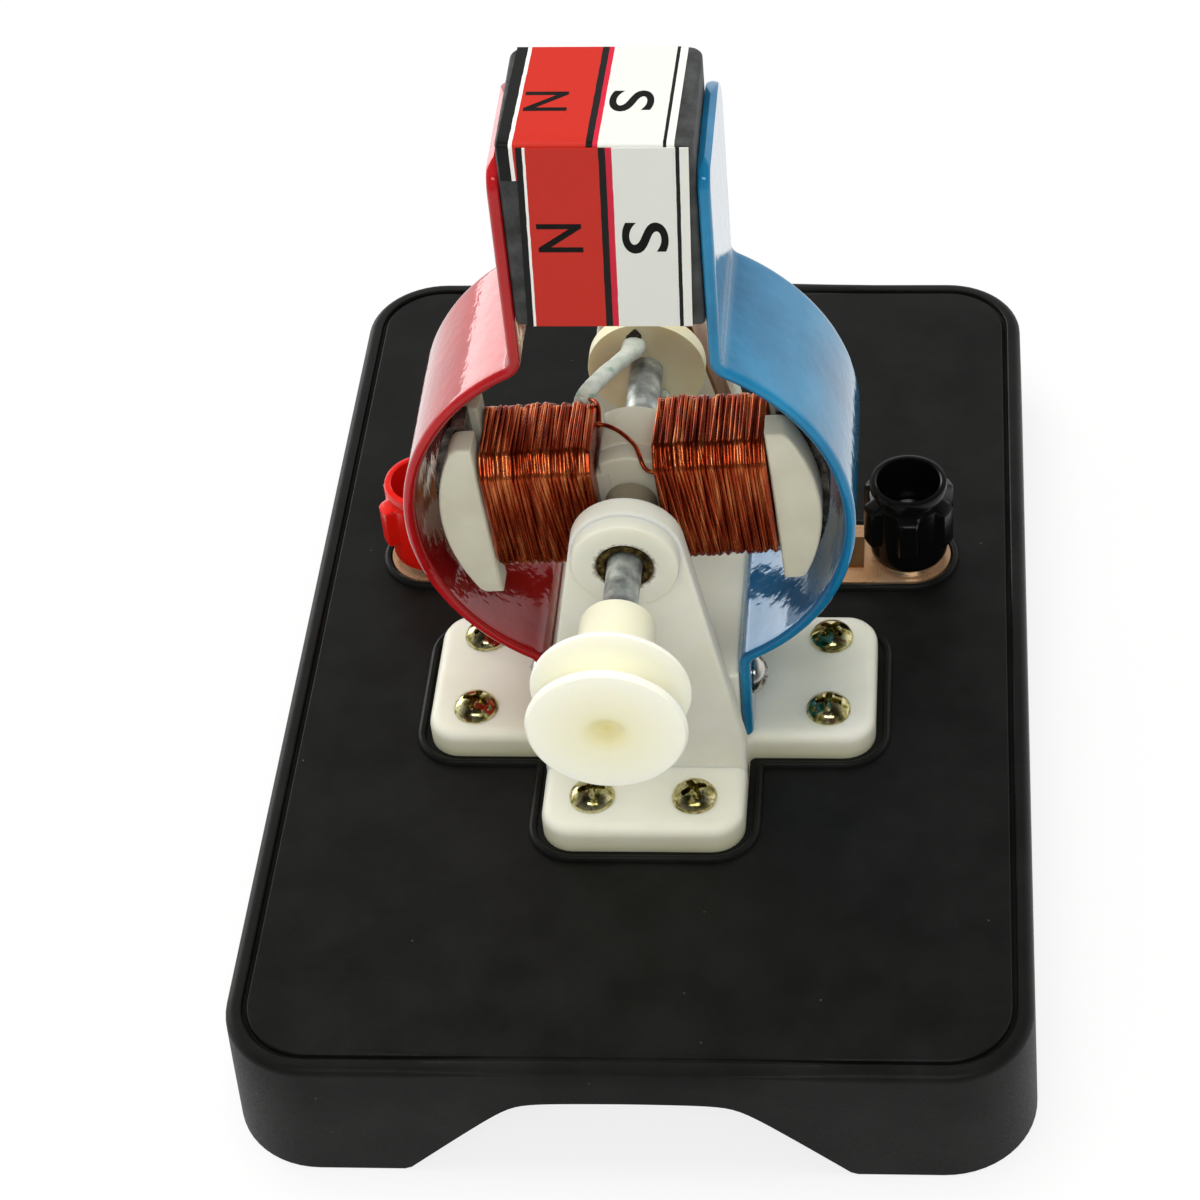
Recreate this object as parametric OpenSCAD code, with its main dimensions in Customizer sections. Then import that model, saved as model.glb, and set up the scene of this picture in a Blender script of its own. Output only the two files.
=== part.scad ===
// Demonstration electric motor: a two-pole rotor with a split-ring commutator,
// between two painted steel pole pieces that a removable block magnet bridges.
// Millimetres. X is to the right, Y away from the pulley, Z up.
// The origin is the middle of the base's underside.

/* [Base] */
// Width of the base across its top edge
base_w = 95; // [86:1:110]
// Length of the base across its top edge
base_l = 145; // [135:1:165]
// Height of the base
base_h = 18; // [16:0.5:24]
// Radius of the base's corners in plan
base_corner_r = 10.5; // [8:0.5:16]
// How far the walls lean outward on their way down
base_draft = 0.7; // [0.3:0.1:1.5]
// Rounding of the rim round the top panel
base_edge_r = 1.4; // [0.6:0.1:2]
// Thickness of the side walls
base_wall = 2.4; // [1.8:0.1:3.5]
// Thickness of the top panel
panel_t = 2.6; // [2:0.1:3.5]
// Distance from the top edge to the middle of the groove round the panel
groove_inset = 2.4; // [2:0.1:4]
// Width of that groove
groove_w = 0.7; // [0.5:0.1:1.2]
// Depth of that groove
groove_d = 0.6; // [0.3:0.1:1]
// Width of the finger arch in each end wall, at the foot
arch_w = 53; // [40:1:60]
// Height of the finger arch
arch_h = 13.5; // [9:0.5:14]
// Rounding of the arch's upper corners
arch_r = 6; // [3:0.5:8]
// Width of the raised beads that locate the bracket and the strips
bead_w = 1.1; // [0.8:0.1:1.6]
// Height of those beads
bead_h = 0.9; // [0.5:0.1:1.5]
// Gap between a bead and the piece it locates
bead_gap = 0.8; // [0.4:0.1:1.5]

/* [Bearing bracket] */
// Thickness of the bracket's foot plate
plate_t = 4; // [3:0.5:5]
// Width over the two side wings
wing_w = 56.4; // [50:0.2:64]
// Length of the wings along the shaft
wing_l = 22; // [22:0.5:26]
// Distance of the wings' middle in front of the origin
wing_front = 12; // [11:0.5:13]
// Width of the long tongue that carries the towers
tongue_w = 25; // [24:0.5:30]
// How far the tongue reaches in front of the origin
tongue_front = 38.7; // [37:0.1:42]
// How far the tongue reaches behind the origin
tongue_rear = 33; // [32:0.5:38]
// Radius of the plate's corners in plan
plate_corner_r = 4; // [2:0.5:5]
// Rounding of the plate's upper edges
plate_edge_r = 1.5; // [0.5:0.1:2]
// Height of the block between the towers, above the foot plate
block_h = 11.3; // [9:0.1:11.5]
// Width of that block, between the pole pieces
block_w = 23.4; // [20:0.2:24]
// Thickness of the walls that its hollow leaves
block_wall = 3; // [2:0.5:4]
// Thickness of each tower's web
tower_t = 3; // [2.5:0.1:3.5]
// Outside radius of the towers' round heads
tower_head_r = 6.7; // [6:0.1:7.5]
// Height of the towers' straight-sided foot, above the plate
tower_foot_h = 3.4; // [2:0.1:6]
// Length of the boss on the outer face of each tower
boss_l = 1.9; // [1:0.1:3]
// Radius of that boss
boss_r = 6.3; // [5:0.1:6.7]
// Distance of the front tower's outer web face in front of the origin
front_tower_y = 28.3; // [28.3:0.1:30]
// Distance of the rear tower's outer web face behind the origin
rear_tower_y = 23.2; // [23:0.1:25]
// Radius of the slim end of each tower's nose
nose_r = 3.05; // [2.8:0.05:3.2]

/* [Shaft and bushes] */
// Height of the shaft's axis above the table
axis_h = 58; // [57:0.5:62]
// Diameter of the shaft
shaft_d = 4.1; // [3.5:0.1:4.3]
// How far the shaft reaches in front of the origin, inside the pulley
shaft_front = 52; // [50:0.5:54]
// How far the shaft reaches behind the origin
shaft_rear = 28.5; // [27:0.5:31]
// Radial running clearance of the shaft in its bushes
run_gap = 0.05; // [0.03:0.01:0.08]
// Radial clearance of pieces that are pressed or glued on the shaft
fix_gap = 0.02; // [0.01:0.01:0.03]
// Outside diameter of a bearing bush
bush_d = 6.5; // [6:0.1:7.2]
// Length of a bearing bush
bush_l = 5; // [4:0.1:6]

/* [Pulley] */
// Diameter of the pulley's two flanges
pulley_d = 18; // [15:0.5:22]
// Distance of the pulley's front face in front of the origin
pulley_front = 56.3; // [55.5:0.1:60]
// Thickness of a flange at its rim
flange_t = 1.3; // [0.9:0.1:1.6]
// Width of the belt groove at the rim
belt_w = 4.6; // [3.5:0.1:5.5]
// Diameter at the bottom of the belt groove
belt_d = 9.6; // [9:0.2:12]
// Diameter of the pulley's hub
pulley_hub_d = 8.7; // [7:0.1:10]
// Distance of the hub's rear end in front of the origin
pulley_hub_end = 39.5; // [37:0.1:42]

/* [Pole pieces and magnet] */
// Width of the steel strip that a pole piece is bent from
pole_w = 22; // [20:0.5:22]
// Thickness of that strip
pole_t = 1.4; // [1:0.1:1.8]
// Inner radius of the arc round the rotor
pole_r = 25.1; // [24.6:0.1:27]
// Radius of the strip's bends, at mid thickness
bend_r = 2.3; // [1.8:0.1:3]
// Height of the pole pieces' upper ends
pole_top = 108.4; // [104:0.2:112]
// Width of the magnet, from pole piece to pole piece
magnet_w = 21; // [18:0.5:24]
// Depth of the magnet along the shaft
magnet_d = 18; // [15:0.5:20]
// Height of the magnet block
magnet_h = 24.4; // [20:0.2:30]
// Height of the magnet's lower face above the table
magnet_z = 88; // [86:0.2:92]
// Clearance between the magnet and each pole piece
magnet_gap = 0.05; // [0.03:0.01:0.1]
// Thickness of the printed labels
label_t = 0.15; // [0.1:0.05:0.3]
// Width of the front label
label_w = 17.4; // [12:0.2:18]
// Length of the top label's fold over the front edge
label_fold = 4.6; // [2:0.2:8]

/* [Rotor] */
// Distance of the rotor core's middle in front of the origin
rotor_mid = 15.8; // [15.6:0.1:16]
// Angle at which the rotor stands, right side up
park_angle = 4; // [0:1:10]
// Outer radius of the iron core's pole shoes
core_r = 23.3; // [22.6:0.1:23.6]
// Thickness of the stack of core plates
core_t = 3.6; // [3:0.1:4]
// Half height of the core's arm inside a winding
arm_h = 3; // [2:0.1:3.4]
// Outer radius of the plastic end cheeks
cheek_r = 22.5; // [21.5:0.1:22.8]
// Distance of the cheeks' flat inner faces from the axis
cheek_x = 17; // [16:0.1:18]
// Half height of a cheek
cheek_h = 11.4; // [9:0.1:13]
// Depth of a cheek along the shaft
cheek_l = 3.9; // [3:0.1:4.5]
// Thickness of the insulation round the core's arms
arm_skin = 1.1; // [0.8:0.1:1.4]
// Half width of the hub between the windings
hub_x = 3.2; // [2.9:0.1:3.4]
// Half height of the hub at its crown
hub_h = 6.4; // [5:0.1:6.8]
// Length of the front insulator's hub in front of the core
front_hub_l = 0.9; // [0.5:0.1:1.4]
// Length of the rear insulator's hub behind the core
rear_hub_l = 5; // [3:0.1:6]

/* [Windings] */
// Diameter of the outer layer's wire
wire_d = 0.6; // [0.5:0.05:0.65]
// Number of turns in the outer layer
turns = 13; // [10:1:13]
// Distance between two turns
turn_pitch = 0.95; // [0.9:0.01:0.97]
// Thickness of the winding on the arm
winding_t = 2.9; // [2:0.1:3.2]
// Corner radius of a turn
turn_r = 3; // [2.2:0.1:3.5]
// Diameter of the sleeves on the coil leads
sleeve_d = 2.2; // [1.8:0.1:2.4]

/* [Commutator and brushes] */
// Diameter of the commutator's insulating disc
disc_d = 14.5; // [13:0.1:16]
// Thickness of that disc
disc_t = 2; // [1.5:0.1:2.5]
// Distance of the disc's front face behind the origin
disc_y = 5; // [4.5:0.1:5.5]
// Outside diameter of the split copper ring
ring_d = 10; // [9:0.1:11]
// Thickness of the copper ring's wall
ring_t = 1.2; // [0.8:0.1:1.5]
// Length of the copper ring
ring_l = 8; // [6:0.1:8.5]
// Width of the slots that split the ring
slot_w = 0.9; // [0.6:0.1:1.4]
// Thickness of a brush leaf
leaf_t = 0.4; // [0.3:0.05:0.6]
// Width of a brush leaf
leaf_w = 5.5; // [4:0.1:6]
// Lean of a brush leaf from the vertical, in degrees
leaf_lean = 14; // [12:1:16]
// Gap between a brush leaf and the ring
brush_gap = 0.25; // [0.15:0.05:0.4]
// Height of the brush leaves' tips above the shaft's axis
leaf_tip = 8; // [5:0.5:9]

/* [Terminals] */
// Distance of each binding post from the middle plane
post_x = 32; // [30:0.5:34]
// Distance of the binding posts behind the origin
post_y = 13.75; // [13:0.25:14.5]
// Thickness of the copper terminal strips
strip_t = 0.6; // [0.4:0.1:1]
// Width of the terminal strips
strip_w = 11.1; // [10:0.1:12]
// Distance of a strip's inner end from the middle plane
strip_in = 14.5; // [13.5:0.1:15.5]
// Distance of the staking pin from the middle plane
stake_x = 23; // [21:0.5:24]
// Diameter of a post's threaded stud
stud_d = 6; // [5.6:0.1:6.4]
// Diameter of the plug socket in a stud
socket_d = 4; // [3.9:0.05:4.2]
// Depth of the plug socket
socket_l = 14; // [10:0.5:15]
// Outside diameter of a post's cap
cap_d = 10.2; // [9.6:0.1:12]
// Diameter of the cap's open top
cap_open_d = 8.3; // [8:0.1:8.6]
// Height of a cap
cap_h = 12.2; // [10:0.2:15]
// Depth of the cap's open top
cap_open_l = 7.7; // [5:0.1:8.5]
// Number of grip lugs round a cap
lug_count = 6; // [4:1:8]
// How far a lug stands out
lug_out = 1.2; // [0.6:0.1:1.6]
// Width of a lug
lug_w = 2.4; // [1.6:0.1:3]
// Height of a lug
lug_h = 6; // [4:0.1:7]

/* [Screws] */
// Diameter of a bracket screw's head
head_d = 5.6; // [5:0.1:6]
// Height of a screw's head
head_h = 1.9; // [1.4:0.1:2.4]
// Diameter of a bracket screw's shank
shank_d = 2.9; // [2.5:0.1:3]
// Distance of the wing screws from the middle plane
wing_screw_x = 22.3; // [20:0.1:24]
// Distance between the two screws of a wing
wing_screw_gap = 12.8; // [10:0.1:14]
// Distance of the tongue screws from the middle plane
tongue_screw_x = 6.3; // [5:0.1:8]
// Distance of the tongue screws from the tongue's end
tongue_screw_in = 5.4; // [5:0.1:5.6]
// Distance between the two screws of a pole piece
pole_screw_gap = 12; // [10:0.5:14]

/* [Hidden] */
$fn = 64;
eps = 0.01;

black_plastic = "#2b2b28";
white_nylon = "#e9e8d8";
yellow_zinc = "#b9ab6a";
bronze = "#a08a40";
red_paint = "#b01f24";
blue_paint = "#2f7ab5";
nickel = "#c9c9c4";
ferrite = "#3a3b3a";
label_white = "#dcdad6";
zinc_steel = "#9aa5a0";
cream_nylon = "#f5f3dc";
core_iron = "#3b342e";
enamel_copper = "#a1492a";
sleeve_white = "#e6efe2";
bare_copper = "#d98f5c";
brush_bronze = "#a07a50";
red_cap_plastic = "#d81410";

// Heights, from the table up
panel_z = base_h - panel_t;
plate_top = base_h + plate_t;
block_top = plate_top + block_h;
strip_top = base_h + strip_t;
magnet_top = magnet_z + magnet_h;

// Places along the shaft
wing_y = -wing_front;
front_web = -front_tower_y;
rear_web = rear_tower_y;
rotor_y = -rotor_mid;
core_front = rotor_y - core_t / 2;
core_rear = rotor_y + core_t / 2;
hub_front = core_front - front_hub_l;
hub_rear = core_rear + rear_hub_l;
ring_y = disc_y + disc_t;
ring_rear = ring_y + ring_l;
nose_gap = 0.4;

// Screws
shank_clear = 0.2;
block_core_w = 8;
screw_l = 9;
boss_wall = 1.7;
pole_head_d = 5;
pole_shank_d = 2.8;
pole_screw_l = 5;
wing_screws = [for (sx = [-1, 1], sy = [-1, 1])
    [sx * wing_screw_x, wing_y + sy * wing_screw_gap / 2]];
tongue_screws = [for (sx = [-1, 1], y = [-tongue_front + tongue_screw_in, tongue_rear - tongue_screw_in])
    [sx * tongue_screw_x, y]];
bracket_screw_places = concat(wing_screws, tongue_screws);

// Posts
collar_t = 0.5;
collar_d = 8.6;
washer_t = 0.5;
seat_gap = 0.05;
stud_gap = 0.06;
collar_z = strip_top + collar_t;
washer_z = collar_z + seat_gap;
cap_z = washer_z + washer_t + seat_gap;
cap_top = cap_z + cap_h;
stud_top = cap_top - cap_open_l;
stud_foot = stud_top - socket_l - 2;
nut_af = 10;
nut_h = 3;
cap_bevel = 0.5;
lug_top = cap_top - 2;
stake_d = 3;
stake_h = 1.9;
stake_gap = 0.1;
leaf_bend_r = 1.6;
leaf_bend_z = strip_top + leaf_t / 2 + leaf_bend_r;
leaf_heel = 3;

// Pole pieces: mid line of the strip, in the plane across the shaft
mid_r = pole_r + pole_t / 2;
leg_x = magnet_w / 2 + magnet_gap + pole_t / 2;
flange_gap = 0.02;
flange_x = block_w / 2 + flange_gap + pole_t / 2;
leg_bend_z = axis_h + sqrt(pow(mid_r + bend_r, 2) - pow(leg_x + bend_r, 2));
flange_bend_z = axis_h - sqrt(pow(mid_r + bend_r, 2) - pow(flange_x + bend_r, 2));
leg_angle = atan2(leg_bend_z - axis_h, leg_x + bend_r);
flange_angle = atan2(axis_h - flange_bend_z, flange_x + bend_r);
flange_foot = plate_top + 0.2;
pole_screw_z = (flange_foot + flange_bend_z) / 2;
leg_front_r = 3;
leg_rear_r = 7;
pole_front = wing_y - pole_w / 2;

// Windings: half sizes of a turn's mid line, across the arm
arm_y = core_t / 2 + arm_skin;
arm_z = arm_h + arm_skin;
coil_skin_gap = 0.08;
turn_y = arm_y + winding_t - wire_d / 2;
turn_z = arm_z + winding_t - wire_d / 2;
coil_in = hub_x + 0.4;
coil_out = cheek_x - 0.15;
winding_x = (coil_in + coil_out) / 2 - turns * turn_pitch / 2;
arm_gap = 0.02;

// Ways of the small wires, from the axis: X, Y of the model, height above the axis
link_route = [[-3.58, -13.2, 6.1], [-2.95, -13.2, 6.15], [-2.2, -13.5, 6.75], [-1, -14.3, 7],
    [0.2, -15.6, 7], [1.2, -17.2, 6.95], [1.8, -18.6, 6.5], [2.3, -19.3, 5.3],
    [2.9, -19.6, 4.4], [3.58, -19.6, 4.4]];
sleeve_route = [[-4.5, -8.4, 8], [-4.2, -6.4, 7.6], [-3.4, -3, 6.4], [-2.4, 0.4, 5.2],
    [-1.4, 3, 4.4], [-1, 4.4, 4.2], [-1, 6.96, 4.2]];
lead_route = [[-3.58, -11.1, 6], [-3, -11.1, 6.1], [-2.7, -10.8, 6.9], [-3.1, -10.2, 7.7],
    [-3.9, -9.8, 8.2], [-4.62, -9.2, 8.16], [-4.503, -8.42, 8.004]];
lead_hole_x = 1;
lead_hole_z = 4.2;
hole_gap = 0.2;

// ---------------------------------------------------------------- shapes

// Extrudes a drawing made in X and Z over len along Y, from y0 on
module along_y(y0, len)
    translate([0, y0 + len, 0]) rotate([90, 0, 0]) linear_extrude(len) children();

// Puts a body of revolution, drawn along Z, on the shaft's axis from y on
module on_axis(y)
    translate([0, y, axis_h]) rotate([-90, 0, 0]) children();

// Turns the rotor's pieces to the angle at which it stands
module parked()
    translate([0, 0, axis_h]) rotate([0, -park_angle, 0]) translate([0, 0, -axis_h]) children();

// Turns a piece half a turn round the shaft
module half_turn()
    translate([0, 0, axis_h]) rotate([0, 180, 0]) translate([0, 0, -axis_h]) children();

// Rectangle with round corners
module round_rect(w, l, r) {
    square([w - 2 * r, l], center = true);
    square([w, l - 2 * r], center = true);
    for (sx = [-1, 1], sy = [-1, 1])
        translate([sx * (w / 2 - r), sy * (l / 2 - r)]) circle(r);
}

// Slab with round corners and rounded upper edges
module soft_slab(w, l, h, r, edge) {
    hull() for (sx = [-1, 1], sy = [-1, 1]) translate([sx * (w / 2 - r), sy * (l / 2 - r), 0]) {
        cylinder(r = r, h = h - edge, $fn = 32);
        for (a = [30, 60]) cylinder(r = r - edge + edge * cos(a), h = h - edge + edge * sin(a), $fn = 32);
        cylinder(r = r - edge, h = h, $fn = 32);
    }
}

// Stretch of a strip that follows a circle, between two angles under 180 degrees apart
module band(r, t, a0, a1) {
    reach = 2 * r + t;
    intersection() {
        difference() {
            circle(r + t / 2, $fn = 128);
            circle(r - t / 2, $fn = 128);
        }
        polygon([[0, 0], reach * [cos(a0), sin(a0)],
            reach * [cos((a0 + a1) / 2), sin((a0 + a1) / 2)], reach * [cos(a1), sin(a1)]]);
    }
}

// Tube through a list of points, of any cross section with n sides
function unit(v) = v / norm(v);
function heading(p, i) = unit(p[min(i + 1, len(p) - 1)] - p[max(i - 1, 0)]);
function tube_ring(c, t, r, n, up) = let (u = unit(cross(up, t)), v = cross(t, u))
    [for (k = [0 : n - 1]) c + r * (cos(360 * k / n) * u + sin(360 * k / n) * v)];
module tube(p, d, n, up = [0, 0, 1]) {
    rings = [for (i = [0 : len(p) - 1]) each tube_ring(p[i], heading(p, i), d / 2, n, up)];
    sides = [for (i = [0 : len(p) - 2], k = [0 : n - 1]) let (a = i * n, b = a + n, m = (k + 1) % n)
        each [[a + k, b + k, b + m], [a + k, b + m, a + m]]];
    last = (len(p) - 1) * n;
    ends = [for (k = [1 : n - 2]) each [[0, k, k + 1], [last, last + k + 1, last + k]]];
    polyhedron(points = rings, faces = concat(sides, ends));
}

// Pan head screw that points down, its head's seat at z = 0, with a cross recess
module pan_screw(d, h, shank, l) {
    rim = 0.35 * h;
    dome = h - rim;
    dome_r = (d * d / 4 + dome * dome) / (2 * dome);
    difference() {
        intersection() {
            translate([0, 0, h - dome_r]) sphere(dome_r);
            cylinder(d = d, h = h);
        }
        for (a = [0, 90]) rotate(a) translate([-0.28 * d, -0.35, h - 0.9]) cube([0.56 * d, 0.7, 1]);
    }
    translate([0, 0, -l]) cylinder(d = shank, h = l + eps);
    translate([0, 0, -l - 1]) cylinder(d1 = 0.6, d2 = shank, h = 1 + eps);
}

// ---------------------------------------------------------------- base

// Outline of the bracket's foot, grown by g all round
module foot_outline(g) {
    translate([0, wing_y]) round_rect(wing_w + 2 * g, wing_l + 2 * g, plate_corner_r + g);
    translate([0, (tongue_rear - tongue_front) / 2])
        round_rect(tongue_w + 2 * g, tongue_front + tongue_rear + 2 * g, plate_corner_r + g);
}

// Outline of the right terminal strip, grown by g all round
module strip_outline(g) {
    translate([post_x, post_y]) circle(strip_w / 2 + g);
    translate([strip_in - g, post_y - strip_w / 2 - g]) square([post_x - strip_in + g, strip_w + 2 * g]);
}

// One end wall's finger arch: straight slopes, rounded where they meet the top
module arch_outline() {
    top = arch_w / 2 - arch_h;
    bend = arch_r * tan(22.5);
    polygon([[-arch_w / 2 - 1, -1], [arch_w / 2 + 1, -1],
        [top + bend * cos(45), arch_h - bend * sin(45)], [top - bend, arch_h],
        [-top + bend, arch_h], [-top - bend * cos(45), arch_h - bend * sin(45)]]);
    intersection() {
        for (sx = [-1, 1]) translate([sx * (top - bend), arch_h - arch_r]) circle(arch_r);
        translate([-arch_w / 2, arch_h - arch_r]) square([arch_w, arch_r]);
    }
}

// Outer or inner form of the tray, with leaning walls
module tray_form(inset, h, edge) {
    r = base_corner_r - inset;
    hull() for (sx = [-1, 1], sy = [-1, 1])
        translate([sx * (base_w / 2 - base_corner_r), sy * (base_l / 2 - base_corner_r), 0]) {
            cylinder(r1 = r + base_draft, r2 = r + base_draft * edge / base_h, h = h - edge, $fn = 48);
            if (edge > 0.1) cylinder(r = r - 0.29 * edge, h = h - 0.29 * edge, $fn = 48);
            if (edge > 0.1) cylinder(r = r - edge, h = h, $fn = 48);
        }
}

module base_tray() color(black_plastic) {
    difference() {
        union() {
            difference() {
                tray_form(0, base_h, base_edge_r);
                translate([0, 0, -eps]) tray_form(base_wall, panel_z + eps, 0);
                along_y(-base_l / 2 - 2, base_wall + 4) arch_outline();
                along_y(base_l / 2 - base_wall - 2, base_wall + 4) arch_outline();
                translate([0, 0, base_h - groove_d]) linear_extrude(1) difference() {
                    round_rect(base_w - 2 * groove_inset + groove_w, base_l - 2 * groove_inset + groove_w,
                        base_corner_r - groove_inset + groove_w / 2);
                    round_rect(base_w - 2 * groove_inset - groove_w, base_l - 2 * groove_inset - groove_w,
                        base_corner_r - groove_inset - groove_w / 2);
                }
            }
            // Beads round the bracket and round the strips' outer ends
            translate([0, 0, base_h - eps]) linear_extrude(bead_h + eps) difference() {
                union() {
                    foot_outline(bead_gap + bead_w);
                    for (side = [0, 1]) mirror([side, 0]) strip_outline(bead_gap + bead_w);
                }
                foot_outline(bead_gap);
                for (side = [0, 1]) mirror([side, 0]) strip_outline(bead_gap);
            }
            // Bosses under the panel for the bracket's screws
            for (p = bracket_screw_places) translate([p[0], p[1], base_h - plate_t - screw_l])
                cylinder(d = shank_d + 2 * boss_wall, h = screw_l + plate_t - panel_t + eps);
            // Staking pins through the strips
            for (sx = [-1, 1]) translate([sx * stake_x, post_y, base_h - eps])
                cylinder(d = stake_d, h = stake_h + eps);
        }
        for (p = bracket_screw_places) translate([p[0], p[1], base_h - plate_t - screw_l - 1])
            cylinder(d = shank_d + 2 * fix_gap, h = screw_l + plate_t + 2);
        for (sx = [-1, 1]) translate([sx * post_x, post_y, panel_z - 1])
            cylinder(d = stud_d + 2 * stud_gap, h = panel_t + 2);
    }
}

// ---------------------------------------------------------------- bracket

// Front view of a tower: a round head on flanks that spread to the tongue's width
module tower_outline() {
    foot_x = tongue_w / 2;
    foot_z = plate_top + tower_foot_h;
    drop = axis_h - foot_z;
    reach = sqrt(foot_x * foot_x + drop * drop);
    touch = atan2(foot_x, drop) + acos(tower_head_r / reach) - 90;
    tx = tower_head_r * cos(touch);
    tz = axis_h + tower_head_r * sin(touch);
    translate([0, axis_h]) circle(tower_head_r, $fn = 96);
    polygon([[-foot_x, base_h + 1], [foot_x, base_h + 1], [foot_x, foot_z], [tx, tz],
        [-tx, tz], [-foot_x, foot_z]]);
}

// Nose of a tower: flares from its slim end, at z = 0, to the tower's web
module tower_nose(l) {
    flare = tower_head_r - 0.6 - nose_r;
    rotate_extrude() difference() {
        square([tower_head_r - 0.6, l]);
        translate([nose_r + flare, l - flare]) circle(flare);
        translate([nose_r, -1]) square([flare + 1, l - flare + 1]);
    }
}

module bearing_bracket() color(white_nylon) difference() {
    union() {
        translate([0, wing_y, base_h]) soft_slab(wing_w, wing_l, plate_t, plate_corner_r, plate_edge_r);
        translate([0, (tongue_rear - tongue_front) / 2, base_h])
            soft_slab(tongue_w, tongue_front + tongue_rear, plate_t, plate_corner_r, plate_edge_r);
        translate([-block_w / 2, wing_y - wing_l / 2 - 0.5, base_h + 1])
            cube([block_w, wing_l + 1, block_top - base_h - 1]);
        along_y(front_web, tower_t) tower_outline();
        along_y(rear_web - tower_t, tower_t) tower_outline();
        on_axis(front_web - boss_l) cylinder(r = boss_r, h = boss_l + 1);
        on_axis(rear_web - 1) cylinder(r = boss_r, h = boss_l + 1);
        on_axis(hub_front - nose_gap) mirror([0, 0, 1])
            tower_nose(hub_front - nose_gap - front_web - tower_t + eps);
        on_axis(ring_rear + nose_gap) tower_nose(rear_web - tower_t - ring_rear - nose_gap + eps);
    }
    // Seats of the bushes and the shaft's way through
    on_axis(front_web - boss_l - 1) cylinder(d = bush_d + 2 * fix_gap, h = bush_l + 1);
    on_axis(rear_web + boss_l - bush_l) cylinder(d = bush_d + 2 * fix_gap, h = bush_l + 1);
    on_axis(front_web - 5) cylinder(d = shaft_d + 0.8, h = rear_web - front_web + 10);
    // Screw holes down through the foot, and into the block's sides
    for (p = bracket_screw_places) translate([p[0], p[1], base_h - 1])
        cylinder(d = shank_d + 2 * shank_clear, h = plate_t + 2);
    for (sx = [-1, 1], sy = [-1, 1])
        translate([sx * (block_w / 2 + 1), wing_y + sy * pole_screw_gap / 2, pole_screw_z])
            rotate([0, -sx * 90, 0]) cylinder(d = pole_shank_d + 2 * fix_gap, h = pole_screw_l + 3);
    // The block is cored out from below
    translate([-block_core_w / 2, wing_y - wing_l / 2 + block_wall, base_h - 1])
        cube([block_core_w, wing_l - 2 * block_wall, block_h + plate_t + 1 - block_wall]);
}

module bracket_screws() color(yellow_zinc) for (i = [0 : len(bracket_screw_places) - 1])
    translate([bracket_screw_places[i][0], bracket_screw_places[i][1], plate_top])
        rotate(37 * i) pan_screw(head_d, head_h, shank_d, screw_l + plate_t - 2);

// ---------------------------------------------------------------- bearings and shaft

// Bush with a countersunk mouth at z = 0
module bush() difference() {
    cylinder(d = bush_d, h = bush_l);
    translate([0, 0, -1]) cylinder(d = shaft_d + 2 * run_gap, h = bush_l + 2);
    translate([0, 0, -eps]) cylinder(d1 = shaft_d + 0.9, d2 = shaft_d + 2 * run_gap, h = 0.4);
}

module front_bearing_bush() color(bronze) on_axis(front_web - boss_l) bush();

module rear_bearing_bush() color(bronze) on_axis(rear_web + boss_l) mirror([0, 0, 1]) bush();

module rotor_shaft() color(zinc_steel) parked() on_axis(-shaft_front) {
    cylinder(d = shaft_d, h = shaft_front + shaft_rear - 0.5);
    translate([0, 0, shaft_front + shaft_rear - 0.5 - eps])
        cylinder(d1 = shaft_d, d2 = shaft_d - 1, h = 0.5 + eps);
}

// Belt pulley: two flanges with rounded rims, a vee groove, a hub and a dimple in front
module belt_pulley() color(cream_nylon) parked() on_axis(-pulley_front) {
    rim = pulley_d / 2 - flange_t / 2;
    back = 2 * flange_t + belt_w;
    slope = 1.1;
    difference() {
        rotate_extrude() {
            polygon([[0, 0], [rim, 0], [rim, flange_t], [belt_d / 2, flange_t + slope],
                [belt_d / 2, back - flange_t - slope], [rim, back - flange_t], [rim, back],
                [pulley_hub_d / 2, back + 0.4], [pulley_hub_d / 2, pulley_front - pulley_hub_end - 0.4],
                [pulley_hub_d / 2 - 0.4, pulley_front - pulley_hub_end], [0, pulley_front - pulley_hub_end]]);
            translate([rim, flange_t / 2]) circle(flange_t / 2, $fn = 24);
            translate([rim, back - flange_t / 2]) circle(flange_t / 2, $fn = 24);
        }
        translate([0, 0, pulley_front - shaft_front - 0.2])
            cylinder(d = shaft_d + 2 * fix_gap, h = shaft_front);
        translate([0, 0, -1.4]) sphere(2.4);
    }
}

// ---------------------------------------------------------------- pole pieces and magnet

// Front view of the right pole piece, bent from one strip
module pole_outline() {
    translate([leg_x - pole_t / 2, leg_bend_z - eps]) square([pole_t, pole_top - leg_bend_z + eps]);
    translate([leg_x + bend_r, leg_bend_z]) band(bend_r, pole_t, 180 - 0.5, 180 + leg_angle + 0.5);
    translate([0, axis_h]) band(mid_r, pole_t, -flange_angle - 0.1, 0.05);
    translate([0, axis_h]) band(mid_r, pole_t, -0.05, leg_angle + 0.1);
    translate([flange_x + bend_r, flange_bend_z]) band(bend_r, pole_t, 180 - flange_angle - 0.5, 180 + 0.5);
    translate([flange_x - pole_t / 2, flange_foot]) square([pole_t, flange_bend_z - flange_foot + eps]);
}

// Side view of the strip: its upper end is rounded, more at the back
module pole_side() difference() {
    square([pole_w, pole_top]);
    translate([0, pole_top - leg_front_r]) difference() {
        translate([-1, 0]) square([leg_front_r + 1, leg_front_r + 1]);
        translate([leg_front_r, 0]) circle(leg_front_r);
    }
    translate([pole_w - leg_rear_r, pole_top - leg_rear_r]) difference() {
        square([leg_rear_r + 1, leg_rear_r + 1]);
        circle(leg_rear_r);
    }
}

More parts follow.
